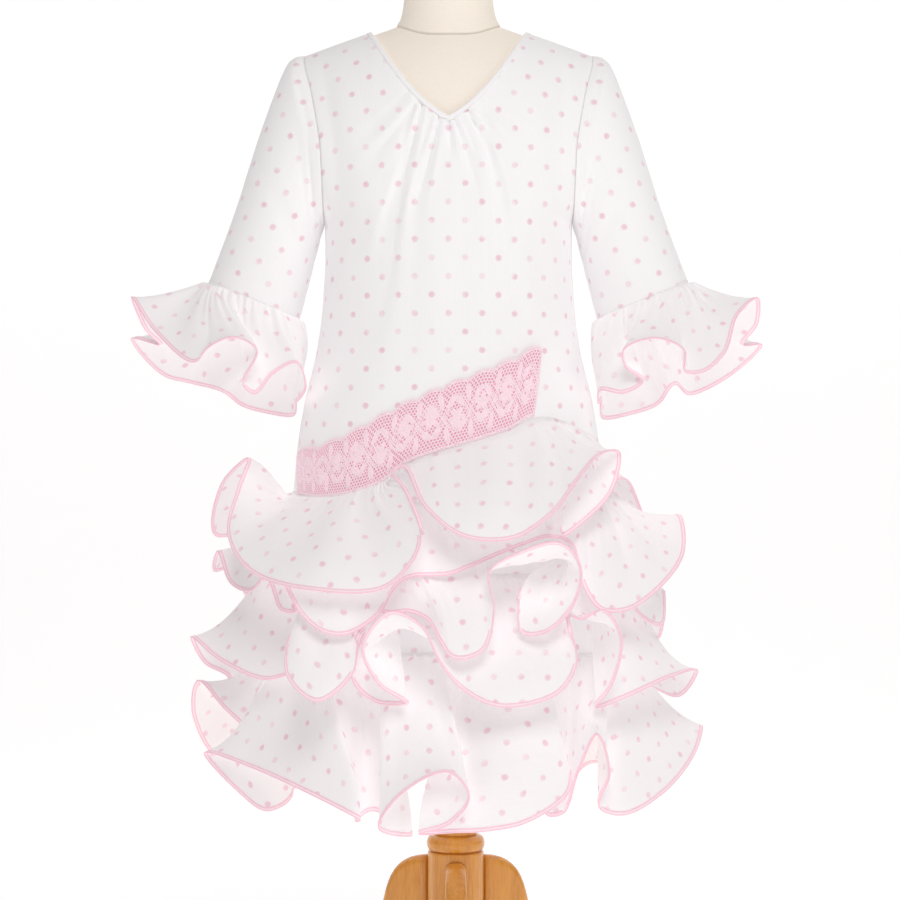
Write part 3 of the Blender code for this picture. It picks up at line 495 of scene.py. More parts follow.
# %% Groups: dots, ribs, yarn and grain
def dots_group():
    """Staggered rows of round dots, read from the flat cloth."""
    sizes = (("Across", 0.0324), ("Down", 0.0359), ("Radius", 0.0029), ("Blur", 0.0014))
    group, given, result = new_group(
        "printed_dots", [(label, FLOAT, size) for label, size in sizes], (("Mask", FLOAT),)
    )
    place = flat_place(group)
    cell = add(group, "ShaderNodeCombineXYZ", given["Across"], given["Down"], 1.0).outputs[0]
    flat = add(group, "ShaderNodeCombineXYZ", given["Across"], given["Down"], 0.0).outputs[0]
    shares = vectors(group, "DIVIDE", place, cell)
    nearest = None
    for shift in (0.0, 0.5):
        moved = vectors(group, "ADD", shares, (shift, shift, 0.0))
        within = vectors(group, "SUBTRACT", vectors(group, "FRACTION", moved), (0.5, 0.5, 0.0))
        far = vectors(group, "LENGTH", vectors(group, "MULTIPLY", within, flat))
        nearest = far if nearest is None else maths(group, "MINIMUM", nearest, far)
    rough = noise(group, place, 620.0).outputs["Fac"]
    wobble = maths(group, "MULTIPLY", maths(group, "SUBTRACT", rough, 0.5), 0.0012)
    far = maths(group, "ADD", nearest, wobble)
    inner = maths(group, "SUBTRACT", given["Radius"], given["Blur"])
    outer = maths(group, "ADD", given["Radius"], given["Blur"])
    faded = noise(group, place, 70.0).outputs["Fac"]
    strength = maths(group, "ADD", ramp(group, faded, 0.36, 0.62, 0.55), 0.45)
    feed(group, result["Mask"], maths(group, "MULTIPLY", ramp(group, far, outer, inner), strength))
    return group


def rib_group():
    """Fine ribs along the warp and the specks of the yarn, as a height and a tint; a low tint in the ribs'
    valleys becomes painted shade, the specks are the yarn's own.
    """
    group, given, result = new_group(
        "ribbed_weave",
        (("Pitch", FLOAT, 0.0027), ("Strength", FLOAT, 1.0)),
        (("Height", FLOAT), ("Tint", FLOAT)),
    )
    place = flat_place(group)
    across, down, _ = add(group, "ShaderNodeSeparateXYZ", place).outputs
    drift = maths(group, "MULTIPLY", noise(group, place, 22.0).outputs["Fac"], 0.002)
    rib = wave(group, maths(group, "DIVIDE", maths(group, "ADD", across, drift), given["Pitch"]))
    weft = wave(group, maths(group, "DIVIDE", down, 0.0007))
    fleck = noise(group, vectors(group, "MULTIPLY", place, (1.0, 0.25, 1.0)), 900.0).outputs["Fac"]
    height = maths(group, "MULTIPLY_ADD", fleck, 0.5, maths(group, "MULTIPLY_ADD", weft, 0.25, rib))
    feed(group, result["Height"], maths(group, "MULTIPLY", height, given["Strength"]))
    speck = maths(group, "MULTIPLY", fleck, 0.4)
    feed(group, result["Tint"], maths(group, "MULTIPLY_ADD", rib, 0.6, speck))
    return group


def yarn_group():
    """Twisted or knitted yarn seen close, as a height; Stretch squeezes it along one axis."""
    group, given, result = new_group(
        "yarn",
        (("Size", FLOAT, 0.0012), ("Stretch", VECTOR, (1.0, 1.0, 1.0))),
        (("Height", FLOAT), ("Tint", FLOAT)),
    )
    place = group.nodes.new("ShaderNodeTexCoord").outputs["Object"]
    cell = add(group, "ShaderNodeCombineXYZ", given["Size"], given["Size"], given["Size"]).outputs[0]
    scaled = vectors(group, "DIVIDE", vectors(group, "MULTIPLY", place, given["Stretch"]), cell)
    cells = add_named(group, "ShaderNodeTexVoronoi", Vector=scaled, Scale=1.0)
    feed(group, result["Height"], maths(group, "SUBTRACT", 1.0, cells.outputs["Distance"]))
    feed(group, result["Tint"], noise(group, place, 60.0).outputs["Fac"])
    return group


def grain_group():
    """Long streaks and fine pores of wood, as a shade and a height."""
    group, given, result = new_group(
        "wood_grain", (("Stretch", VECTOR, (40.0, 40.0, 4.0)),), (("Shade", FLOAT), ("Pores", FLOAT))
    )
    place = group.nodes.new("ShaderNodeTexCoord").outputs["Object"]
    place = vectors(group, "MULTIPLY", place, given["Stretch"])
    broad = noise(group, place, 1.0, Detail=4.0, Distortion=0.3).outputs["Fac"]
    fine = noise(group, place, 9.0, Detail=3.0).outputs["Fac"]
    shade = maths(group, "MULTIPLY_ADD", fine, 0.35, maths(group, "MULTIPLY", broad, 0.65))
    feed(group, result["Shade"], ramp(group, shade, 0.35, 0.65))
    feed(group, result["Pores"], ramp(group, fine, 0.38, 0.55))
    return group


DOTS, RIBS, YARN, GRAIN = dots_group(), rib_group(), yarn_group(), grain_group()
print("built", len(bpy.data.node_groups), "shared node groups")

# %% [markdown]
# ## The materials themselves
# The cotton is nearly white and quite matt, with dots of a pale pink that are printed a little unevenly
# and that the weave breaks up at their edges; the valleys between its ribs are painted a little darker,
# as painted shade. Thin cloth passes some light on to its other side. True light through the cloth would
# be slow and noisy to compute, so a faint glow of each material's own colour is painted on: painted light
# that also lifts the shade. It is stronger on the ruffles, which hang free, and there it lifts the shade
# under the rows above. The hem's edging and the lace are of pink thread, painted paler on the raised yarn
# and darker in its hollows, as painted highlight and shade, and they glow too. The form wears a thin cream
# jersey, its knit painted darker in the hollows as shade, with a glow of its own. The stand is amber wood
# under a gloss varnish, so it gets a clear coat over a rougher grain.


# %% Helpers for materials
def new_material(name, colour, roughness):
    material = bpy.data.materials.new(name)
    material.use_nodes = True
    tree = material.node_tree
    shader = tree.nodes["Principled BSDF"]
    shader.inputs["Base Color"].default_value = (*colour, 1.0)
    shader.inputs["Roughness"].default_value = roughness
    return material, tree, shader


def add_bump(tree, shader, height, depth, strength=1.0):
    """Raises a surface by a height that runs from 0 to 1; depth is in millimetres."""
    bump = add_named(tree, "ShaderNodeBump", Strength=strength, Distance=depth * MM, Height=height)
    feed(tree, shader.inputs["Normal"], bump.outputs[0])


def add_glow(shader, colour, share):
    """A faint glow of the material's own colour: on cloth, thread and jersey it is painted light that lifts
    their shade; on the floor it keeps the backdrop evenly bright.
    """
    shader.inputs["Emission Color"].default_value = (*colour, 1.0)
    shader.inputs["Emission Strength"].default_value = share


print("a material has a colour, a roughness, a bump and a glow")

# %% Cotton, thread, jersey and wood
WHITE_COTTON = (0.94, 0.93, 0.935)
SHADED_COTTON = (0.88, 0.865, 0.87)
DOT_PINK = (0.78, 0.46, 0.56)


def cotton(name, dotted, glow_share, white=WHITE_COTTON, shaded=SHADED_COTTON):
    material, tree, shader = new_material(name, white, 0.85)
    shader.inputs["Sheen Weight"].default_value = 0.12
    shader.inputs["Sheen Roughness"].default_value = 0.5
    # a glow of the cloth's own colour: painted light that lifts its shade
    add_glow(shader, white, glow_share)
    ribs = place_group(tree, RIBS)
    # the ribs' valleys take the shaded colour: painted shade; the yarn's specks are its own
    colour = mix_colours(tree, ribs["Tint"], (*shaded, 1.0), (*white, 1.0))
    if dotted:
        dots = place_group(tree, DOTS)
        share = maths(tree, "MULTIPLY", dots["Mask"], 0.7)
        colour = mix_colours(tree, share, colour, (*DOT_PINK, 1.0))
    feed(tree, shader.inputs["Base Color"], colour)
    # the painted glow takes the cloth's colour, its dots included
    feed(tree, shader.inputs["Emission Color"], colour)
    add_bump(tree, shader, ribs["Height"], 0.12, 0.5)
    return material


def edging():
    """Pink thread sewn over the hem: ridges along both sides and slanting stitches between them."""
    material, tree, shader = new_material("pink_edging", (0.88, 0.55, 0.63), 0.7)
    shader.inputs["Sheen Weight"].default_value = 0.2
    along, over, _ = add(tree, "ShaderNodeSeparateXYZ", flat_place(tree)).outputs
    side = maths(tree, "ABSOLUTE", maths(tree, "SUBTRACT", over, 0.5))
    ridge = ramp(tree, side, 0.10, 0.22)
    colour = mix_colours(tree, ridge, (0.97, 0.80, 0.85, 1.0), (0.92, 0.56, 0.65, 1.0))
    stitch = wave(tree, maths(tree, "MULTIPLY_ADD", over, 2.0, maths(tree, "DIVIDE", along, 0.0011)))
    colour = mix_colours(tree, maths(tree, "MULTIPLY", stitch, 0.3), colour, (0.97, 0.82, 0.87, 1.0))
    feed(tree, shader.inputs["Base Color"], colour)
    # a pink glow: painted light that lifts the edging's shade
    add_glow(shader, (1.0, 0.70, 0.78), 0.16)
    add_bump(tree, shader, stitch, 0.2, 0.6)
    return material


def thread(name, dark, pale, size, glow_share=0.14):
    material, tree, shader = new_material(name, pale, 0.8)
    # a glow of the thread's pale colour: painted light that lifts its shade
    add_glow(shader, pale, glow_share)
    shader.inputs["Sheen Weight"].default_value = 0.2
    yarn = place_group(tree, YARN, Size=size)
    # the yarn is pale on its raised twists and dark in its hollows: painted highlight and shade
    feed(tree, shader.inputs["Base Color"], mix_colours(tree, yarn["Height"], (*dark, 1.0), (*pale, 1.0)))
    add_bump(tree, shader, yarn["Height"], 0.15, 0.6)
    return material


def jersey():
    material, tree, shader = new_material("cream_jersey", (0.94, 0.88, 0.78), 0.9)
    shader.inputs["Sheen Weight"].default_value = 0.15
    yarn = place_group(tree, YARN, Size=0.0011, Stretch=(1.0, 1.0, 0.55))
    # the knit is darker in its hollows: painted shade
    knit = mix_colours(tree, yarn["Height"], (0.90, 0.81, 0.69, 1.0), (0.96, 0.89, 0.79, 1.0))
    cloud = mix_colours(tree, maths(tree, "MULTIPLY", yarn["Tint"], 0.25), knit, (0.97, 0.92, 0.84, 1.0))
    # a warm glow: painted light that lifts the form's shade
    add_glow(shader, (1.0, 0.93, 0.84), 0.1)
    feed(tree, shader.inputs["Base Color"], cloud)
    add_bump(tree, shader, yarn["Height"], 0.12, 0.4)
    return material


def varnished_wood(name, stretch):
    material, tree, shader = new_material(name, (0.6, 0.26, 0.04), 0.42)
    shader.inputs["Coat Roughness"].default_value = 0.12
    shader.inputs["Coat Weight"].default_value = 1.0
    shader.inputs["Specular IOR Level"].default_value = 0.25
    grain = place_group(tree, GRAIN, Stretch=stretch)
    colour = mix_colours(tree, grain["Shade"], (0.66, 0.25, 0.022, 1.0), (0.80, 0.34, 0.042, 1.0))
    pores = maths(tree, "MULTIPLY", grain["Pores"], 0.12)
    colour = mix_colours(tree, pores, colour, (0.88, 0.46, 0.10, 1.0))
    feed(tree, shader.inputs["Base Color"], colour)
    feed(tree, shader.inputs["Roughness"], maths(tree, "MULTIPLY_ADD", grain["Pores"], -0.12, 0.5))
    add_bump(tree, shader, grain["Pores"], 0.08, 0.25)
    return material


print("dots are", DOT_PINK)

# %% Make the materials
DOTTED = cotton("dotted_cotton", True, 0.12)
# the ruffles' cotton is darker and glows more: painted light that lifts the shade under the rows above
RUFFLED = cotton("ruffled_cotton", True, 0.19, (0.90, 0.875, 0.88), (0.85, 0.82, 0.83))
PLAIN = cotton("plain_cotton", False, 0.12)
EDGING = edging()
LACE_THREAD = thread("lace_thread", (0.93, 0.69, 0.77), (0.98, 0.85, 0.90), 0.0006)
# the deeper pink of the holes, where only shade shows: painted shade
LACE_HOLE_SHADE = thread("lace_hole_shade", (0.74, 0.36, 0.46), (0.80, 0.43, 0.53), 0.0012, 0.09)
LACE_LEAF = thread("lace_leaf", (0.92, 0.64, 0.72), (0.97, 0.76, 0.82), 0.0009)
WHITE_THREAD = thread("white_thread", (0.85, 0.83, 0.83), (0.95, 0.93, 0.93), 0.0005)
JERSEY = jersey()
TURNED_WOOD = varnished_wood("turned_wood", (70.0, 70.0, 5.0))
SAWN_WOOD = varnished_wood("sawn_wood", (60.0, 60.0, 6.0))
print("made", len(bpy.data.materials), "materials")

# %% [markdown]
# ## Front and back
# The front is cut wide at the V and gathered into its binding there. Each gather runs out of the neckline
# as a sharp trough with a soft roll beside it and fades a hand's width below. The creases are written as
# a table: where each starts and ends, how deep it is and how wide. The back is plain, with a few soft
# falls of the cloth.

# %% Tables of creases
Crease = namedtuple("Crease", "across up across_low up_low depth width bend", defaults=(0.0,))
CREASES = (
    Crease(-28, 985, -58, 876, 4.0, 1.9, 1.0),
    Crease(-10, 979, -29, 906, 3.8, 1.6, 1.0),
    Crease(7, 978, 27, 918, 3.5, 1.6, 0.5),
    Crease(22, 983, 51, 876, 4.0, 1.9, 8.0),
    Crease(0.5, 980, 2, 952, 3.0, 1.2),
    Crease(26, 986, 52, 965, 2.4, 1.8),
    Crease(-36, 990, -70, 946, 2.0, 2.6),
    Crease(38, 998, 70, 968, 1.3, 2.4),
    Crease(-45, 1002, -78, 968, 1.0, 2.8),
)
FALLS = (
    Crease(-60, 872, -84, 760, 3.6, 10.0),
    Crease(-46, 930, -66, 800, 3.6, 5.5),
    Crease(40, 935, 56, 800, 3.4, 6.0),
    Crease(-118, 985, -100, 850, 3.4, 11.0),
    Crease(-30, 900, -40, 740, 2.2, 8.0),
    Crease(52, 880, 62, 740, 2.8, 10.0),
    Crease(104, 960, 110, 760, 2.4, 12.0),
    Crease(20, 915, 14, 760, 2.0, 10.0),
    Crease(-88, 840, -112, 700, 2.6, 12.0),
    Crease(88, 830, 104, 700, 2.4, 12.0),
    Crease(113, 1010, 121, 900, 2.6, 8.0),
)
BACK_FALLS = (
    Crease(-70, 900, -84, 690, 3.0, 18.0),
    Crease(18, 880, 10, 700, 2.6, 20.0),
    Crease(92, 905, 108, 690, 3.2, 16.0),
    Crease(-30, 1040, -40, 900, 2.0, 14.0),
    Crease(40, 1040, 52, 900, 2.2, 14.0),
)
MOST_SUNK = 4.3  # a crease may not reach the form behind the cloth
ROLL = 0.36  # height of the roll beside a crease, as a share of the crease's depth


def fading(off):
    """Falls from 1 towards 0 as off grows."""
    return 2.718 ** -off


def sunk_by(creases, across, height, sharp):
    """How deep creases make the cloth at a place, and how far their rolls raise it."""
    sunk = raised = 0.0
    for crease in creases:
        along = (crease.up - height) / (crease.up - crease.up_low)
        if along < -0.5 or along > 1.6:
            continue
        middle = crease.across + (crease.across_low - crease.across) * along
        middle += crease.bend * max(4 * along * (1 - along), -1.0)
        fade = 0.5 + 0.5 * cos(pi * max(along - 0.4, 0.0) / 1.2)
        fade *= min(1.0, (along + 0.5) / 0.3)
        width = crease.width * (1.0 + 1.4 * max(along, 0.0))
        off = abs(across - middle) / width
        if sharp:
            sunk += crease.depth * fade * (0.75 * fading(1.5 * off) + 0.25 * fading(0.4 * off))
            raised += ROLL * crease.depth * fade * fading((off - 2.6) ** 2 / 1.6)
        else:
            sunk += crease.depth * fade * fading(off**2)
    return sunk, raised


print("the front has", len(CREASES), "creases and", len(FALLS), "soft falls")

# %% The neckline and the rows of a panel
NECK_SHARE = 0.581  # where a panel's neck corner lies on its half width
SHOULDER_ARC = 95.0  # mean radius of the shoulders' curve, which spaces the rows evenly


def neck_edge(across, side, inset):
    """Height of the neckline, or of a line that runs the inset outside it."""
    across = abs(across)
    point = NECK_POINT + inset
    if side > 0:
        share = across / NECK_POINT
        rise = NECK_RISE * ((1 - NECK_BOW) * share + NECK_BOW * share**2)
        steep = NECK_RISE / NECK_POINT * (1 - NECK_BOW + 2 * NECK_BOW * share)
        return V_POINT + rise - inset * sqrt(1 + steep**2)
    return BACK_NECK - inset + (shoulder_height(point) - BACK_NECK + inset) * (across / point) ** 2


def panel_top(across, side):
    return min(neck_edge(across, side, BINDING - 2.0), shoulder_height(across))


def row_height(across, top, share):
    """Height of a row between the armpit and the panel's top, evenly spaced along the curved cloth."""
    ridge = shoulder_height(across)
    straight = max(min(ridge - SHOULDER_ROUND, top) - ARMPIT, 0.0)
    start = acos(1 - max(min((ridge - top) / SHOULDER_ROUND, 1.0), 0.0))
    far = share * (straight + (pi / 2 - start) * SHOULDER_ARC)
    if far <= straight:
        return ARMPIT + far
    return ridge - SHOULDER_ROUND * (1 - cos(pi / 2 - (far - straight) / SHOULDER_ARC))


def panel_grid(side, creased, inner=96, outer=26, low_rows=36, high_rows=64):
    """The outer face of the front or back, from the shoulder down, its columns running rightwards."""
    half = [NECK_SHARE * step / inner for step in range(inner + 1)]
    half += [NECK_SHARE + (1 - NECK_SHARE) * step / outer for step in range(1, outer + 1)]
    shares = [-share for share in half[:0:-1]] + half
    creases, falls = (CREASES, FALLS) if side > 0 else ((), BACK_FALLS)
    creases, falls = (creases, falls) if creased else ((), ())
    grid = []
    for row in range(low_rows + high_rows, -1, -1):
        line = []
        for share in shares:
            if row <= low_rows:
                height = SKIRT_END + (ARMPIT - SKIRT_END) * row / low_rows
            else:
                top = V_POINT
                for _ in range(12):
                    top = panel_top(share * edge_half_width(top), side)
                height = row_height(share * edge_half_width(top), top, (row - low_rows) / high_rows)
            across = share * edge_half_width(height)
            depth = body_depth(across, height, side)
            near_edge = min(1.0, (1.0 - abs(share)) / 0.12)
            clear = (neck_edge(across, side, BINDING) - height) / 9.0
            gathered, raised = sunk_by(creases, across, height, True)
            fallen = sunk_by(falls, across, height, False)[0] * max(1 - gathered / MOST_SUNK, 0.0)
            depth -= near_edge * min(gathered + fallen, MOST_SUNK)
            depth += near_edge * raised * min(max(clear, 0.0), 1.0)
            line.append(Vector((across, side * max(depth, 0.05), height)))
        grid.append(line)
    return grid


print("the point of the V lies at", neck_edge(0, 1, 0), "mm")

# %% Make the panels
DOT_LEVEL = 937.0  # height on the centre line where a dot lies


def section_way(point, side):
    """Horizontal direction along the body's surface, towards the right of someone who faces the front."""
    facing = body_normal(point, side)
    return Vector((abs(facing.y) + 1e-6, -side * facing.x, 0)).normalized()


def build_panel(name, node_name, side, high_rows=64):
    grid = panel_grid(side, True, high_rows=high_rows)
    plain = panel_grid(side, False, high_rows=high_rows)
    middle = len(grid[0]) // 2

    def across_at(row, column):
        return section_way(plain[row][column], side)

    cut = grain_cut(plain, across_at, middle, ARMPIT - DOT_LEVEL, high_rows)
    piece = cloth_piece(name, grid, cut, DOTTED, rightwards=side > 0)
    keep(piece, [node_name])
    declare(piece, grid)


build_panel("front_cloth", "dress_front", 1)
build_panel("back_cloth", "dress_back", -1)

# %% [markdown]
# ## Stitches along a path
# A row of sewing repeats one small stitch along a line, which is work for Geometry Nodes: the line is
# resampled at the stitch's pitch, a small bead of thread is placed at each point, turned along the line,
# and the result is made real.


# %% Helpers for Geometry Nodes
def new_tree(name, sizes, finish):
    """A tree whose inputs are a geometry, named sizes and a material named as its finish."""
    tree = bpy.data.node_groups.new(name, "GeometryNodeTree")
    face = tree.interface
    face.new_socket(name="Geometry", in_out="INPUT", socket_type="NodeSocketGeometry")
    for label, value in sizes:
        face.new_socket(name=label, in_out="INPUT", socket_type=FLOAT).default_value = value
    face.new_socket(name=finish, in_out="INPUT", socket_type="NodeSocketMaterial")
    face.new_socket(name="Geometry", in_out="OUTPUT", socket_type="NodeSocketGeometry")
    return tree, tree.nodes.new("NodeGroupInput").outputs


def end_tree(tree, geometry, material):
    """Ends a tree as the export needs it: copies made real and their material set."""
    real = add(tree, "GeometryNodeRealizeInstances", geometry).outputs[0]
    painted = add_named(tree, "GeometryNodeSetMaterial", Geometry=real, Material=material)
    feed(tree, tree.nodes.new("NodeGroupOutput").inputs[0], painted.outputs[0])
    return tree


def made_by_nodes(name, tree, values, lines=(), loops=()):
    """Runs a Geometry Nodes tree on lines of points and returns the result as a plain mesh object."""
    points, edges = [], []
    for line in list(lines) + list(loops):
        first = len(points)
        points += [in_scene(p) for p in line]
        edges += [(first + step, first + step + 1) for step in range(len(line) - 1)]
        if line in loops:
            edges.append((len(points) - 1, first))
    mesh = bpy.data.meshes.new(name)
    mesh.from_pydata(points, edges, [])
    piece = into_scene(name, mesh)
    modifier = piece.modifiers.new("made", "NODES")
    modifier.node_group = tree
    for item in tree.interface.items_tree:
        if item.in_out == "INPUT" and item.name in values:
            modifier[item.identifier] = values[item.name]
    bpy.context.view_layer.update()
    depsgraph = bpy.context.evaluated_depsgraph_get()
    made = bpy.data.meshes.new_from_object(piece.evaluated_get(depsgraph), depsgraph=depsgraph)
    piece.modifiers.remove(modifier)
    piece.data = made
    piece.data.name = name
    piece.data.shade_smooth()
    bpy.data.meshes.remove(mesh)
    return piece


print("a tree's inputs are set by their socket's identifier")


# %% A tree that sews
def stitch_tree():
    sizes = (("Pitch", 0.0028), ("Length", 0.0019), ("Thickness", 0.0005))
    tree, given = new_tree("row_of_stitches", sizes, "Thread")
    curve = add(tree, "GeometryNodeMeshToCurve", given["Geometry"]).outputs[0]
    spots = tree.nodes.new("GeometryNodeCurveToPoints")
    spots.mode = "LENGTH"
    feed(tree, spots.inputs["Curve"], curve)
    feed(tree, spots.inputs["Length"], given["Pitch"])
    bead = add_named(tree, "GeometryNodeMeshUVSphere", Segments=6, Rings=4, Radius=0.5)
    thick, long = given["Thickness"], given["Length"]
    beads = add_named(
        tree, "GeometryNodeInstanceOnPoints",
        Points=spots.outputs["Points"], Instance=bead.outputs["Mesh"], Rotation=spots.outputs["Rotation"],
        Scale=add(tree, "ShaderNodeCombineXYZ", thick, thick, long).outputs[0],
    )
    return end_tree(tree, beads.outputs[0], given["Thread"])


STITCHES = stitch_tree()
print("a row of stitches has", len(STITCHES.nodes), "nodes")

# %% [markdown]
# ## The neck binding
# A folded strip of the same cotton, 5 mm wide, closes the raw edge of the neck. It is a ring swept round
# the neckline with a rounded section, and a row of stitches holds it along its outer edge.

# %% Sweep the binding round the neck
BINDING_PROFILE = (
    (4.6, 0.12), (4.62, 0.5), (4.2, 0.82), (3.0, 0.95), (1.4, 0.92), (0.3, 0.55), (-0.2, -0.3),
    (0.3, -1.2), (1.4, -1.5), (3.0, -1.55), (4.3, -1.45), (4.6, -1.1), (4.3, -0.9), (1.7, -0.92),
    (1.2, -0.4), (1.7, 0.1),
)
BINDING_STEP = 1.6  # mean width of the strip between two corners of its profile


def neck_place(share, side, inset, out):
    across = share * (NECK_POINT + inset)
    height = min(neck_edge(across, side, inset), shoulder_height(across))
    point = Vector((across, side * body_depth(across, height, side), height))
    facing = body_normal(point, side)
    if abs(share) == 1:
        facing = Vector((facing.x, 0, facing.z)).normalized()
    return point + facing * out


def build_binding(steps=60):
    halves = [step / steps for step in range(-steps, steps + 1)]
    ring = [(share, 1) for share in halves] + [(share, -1) for share in halves[-2:0:-1]]
    grid = [[neck_place(share, side, inset, out) for share, side in ring] for inset, out in BINDING_PROFILE]
    grid.append(grid[0])
    rows, columns = len(grid) - 1, len(ring)
    quads = []
    for row in range(rows):
        for column in range(columns):
            right, below = (column + 1) % columns, (row + 1) % rows
            here, under = row * columns, below * columns
            quads.append((here + column, under + column, under + right, here + right))
    piece = new_piece("neck_binding_cloth", [p for row in grid[:-1] for p in row], quads, PLAIN)
    layer = piece.data.uv_layers.new(name="cut")
    run = lengths_along(grid[0] + [grid[0][0]])
    flat = []
    for row in range(rows):
        for column in range(columns):
            for far, deep in ((column, row), (column, row + 1), (column + 1, row + 1), (column + 1, row)):
                flat += (run[far] * MM, deep * BINDING_STEP * MM)
    layer.data.foreach_set("uv", flat)
    keep(piece, ["neck_binding"])
    seam = [neck_place(share, side, 3.7, 0.92) for share, side in ring]
    sewn = made_by_nodes("neck_stitches", STITCHES, {"Thread": WHITE_THREAD}, loops=[seam])
    keep(sewn, [])


build_binding()

# %% [markdown]
# ## Sleeves
# A sleeve is a tube from the armhole to below the elbow. Its cross section changes smoothly from the shape
# of the armhole to an oval, and the tube leans outwards. Soft folds gather at the armpit and across the
# inside of the arm. The flat cloth is measured on the tube without its folds, along its front line and
# along its back line, so that the dots stay round on both sides.

# %% Lines and folds of a sleeve
Place = namedtuple("Place", "across up")
SLEEVE_OUTER = (
    Place(144, 1055.6), Place(154.5, 1053), Place(165.5, 1038),
    Place(189.5, 974), Place(213.5, 899), Place(239.5, 829),
)
SLEEVE_INNER = (Place(124.5, 887), Place(135.5, 843), Place(148.5, 793))
SLEEVE_DEPTH = 41.0
SLEEVE_FULL = 52.0
ARM_WAY = (0.349, 0.0, -0.937)  # down an arm on the viewer's right

ArmFold = namedtuple("ArmFold", "degrees share lean depth width length")
ARM_FOLDS = (
    ArmFold(150, 0.10, 260, 3.4, 0.030, 46),
    ArmFold(135, 0.24, 200, 2.6, 0.034, 40),
    ArmFold(160, 0.42, 150, 2.4, 0.040, 44),
    ArmFold(110, 0.60, -120, 1.8, 0.045, 40),
    ArmFold(60, 0.16, -160, 1.8, 0.040, 30),
    ArmFold(210, 0.16, -240, 3.2, 0.034, 46),
    ArmFold(230, 0.36, -150, 2.4, 0.040, 44),
    ArmFold(300, 0.55, 120, 1.8, 0.050, 40),
)


def smooth_step(values, spans, share):
    """Cubic through values[1] and values[2], its ends sloping as the neighbours do."""
    before, low, high, after = values
    first = (low - before) / spans[0]
    middle = (high - low) / spans[1]
    last = (after - high) / spans[2]
    enter = (first * spans[1] + middle * spans[0]) / (spans[0] + spans[1]) * spans[1]
    leave = (middle * spans[2] + last * spans[1]) / (spans[1] + spans[2]) * spans[1]
    return hermite(low, high, enter, leave, share)


def along_line(places, share):
    """A place on a line smoothed through its points, by share of its number of steps."""
    place = share * (len(places) - 1)
    index = min(int(place), len(places) - 2)
    picked = [places[min(max(index + shift, 0), len(places) - 1)] for shift in (-1, 0, 1, 2)]
    rest = place - index
    return Place(*(smooth_step([p[column] for p in picked], (1, 1, 1), rest) for column in (0, 1)))


def sleeve_sink(degrees, share):
    total = 0.0
    for fold in ARM_FOLDS:
        turn = (degrees - fold.degrees + 180) % 360 - 180
        off = (share - fold.share - turn / 360 * (fold.lean / 360)) / fold.width
        total += fold.depth * fading(off**2 + (turn / fold.length) ** 2)
    return total


print("a sleeve has", len(ARM_FOLDS), "soft folds")


# %% The sleeve as a surface
def sleeve_point(degrees, share, folded=1.0):
    """Outer face of a sleeve on the viewer's right: 0 degrees is its top line, 90 its front."""
    turn = radians(degrees)
    raised = (1 + cos(turn)) / 2
    outer, inner = along_line(SLEEVE_OUTER, share), along_line(SLEEVE_INNER, share)
    across = inner.across + (outer.across - inner.across) * raised
    up = inner.up + (outer.up - inner.up) * raised
    ease = min(share / 0.3, 1.0)
    ease = ease * ease * (3 - 2 * ease)
    calm = min(share / 0.06, 1.0) * min((1 - share) / 0.06, 1.0)
    slack = 1 - folded * calm * sleeve_sink(degrees, share) / 46.0
    depth = (SLEEVE_FULL + (SLEEVE_DEPTH - SLEEVE_FULL) * share) * sin(turn) * slack
    middle = (inner.across + outer.across) / 2
    across = middle + (across - middle) * (1 + (slack - 1) * 0.5)
    if ease < 1.0:
        height = ARMPIT + (shoulder_height(144) - ARMPIT) * raised
        edge = edge_half_width(height)
        side = 1 if sin(turn) >= 0 else -1
        hole = side * body_depth(edge, height, side)
        depth = hole + (depth - hole) * ease
        straight = SLEEVE_INNER[0].across + (SLEEVE_OUTER[0].across - SLEEVE_INNER[0].across) * raised
        across += (edge + SEAM_GAP - straight) * (1 - ease)
    return Vector((across, depth, up))


print("the end of a sleeve is", round(2 * sleeve_point(90, 1).y), "mm deep")


# %% Make the sleeves
def sleeve_cut(grid, mirror):
    """Measured from the end of the sleeve up, true along its front line and along its back line."""
    axis = Vector((ARM_WAY[0] * mirror, ARM_WAY[1], ARM_WAY[2]))
    columns = len(grid[0])
    front, back = columns // 4, columns - columns // 4
    falls = [-(point - grid[-1][0]).dot(axis) for point in grid[-1]]
    places, cut = None, []
    for number in range(len(grid) - 1, -1, -1):
        ring = grid[number]
        facing = [grid_normal(grid, number, column, closed=True) for column in range(columns)]
        ways = [axis.cross(way).normalized() for way in facing]
        runs = [0.0]
        for column in range(columns):
            step = ring[(column + 1) % columns] - ring[column]
            runs.append(runs[-1] + part_beside(step, ways[column], axis))
        if places is None:
            places = {front: runs[front], back: runs[back]}
        else:
            rises = [point - lower for point, lower in zip(ring, grid[number + 1])]
            falls = [far + part_beside(rise, -axis, way) for far, rise, way in zip(falls, rises, ways)]
            for column in places:
                places[column] += part_beside(rises[column], ways[column], axis)
        row = []
        for column, run in enumerate(runs):
            share = 0.5 + 0.5 * cos(2 * pi * (column - front) / columns)
            moved = share * (places[front] - runs[front]) + (1 - share) * (places[back] - runs[back])
            row.append((run + moved, falls[column % columns]))
        cut.append(row)
    return cut[::-1]


def sleeve_grid(mirror, around, along, folded):
    grid = []
    for row in range(along + 1):
        points = [sleeve_point(360.0 * step / around, row / along, folded) for step in range(around)]
        grid.append([Vector((point.x * mirror, point.y, point.z)) for point in points])
    return grid


def build_sleeve(name, node_name, mirror, around=110, along=84):
    grid = sleeve_grid(mirror, around, along, 1.0)
    cut = sleeve_cut(sleeve_grid(mirror, around, along, 0.0), mirror)
    piece = cloth_piece(name, grid, cut, DOTTED, closed=True, rightwards=mirror < 0)
    keep(piece, [node_name])
    declare(piece, grid, closed=True)


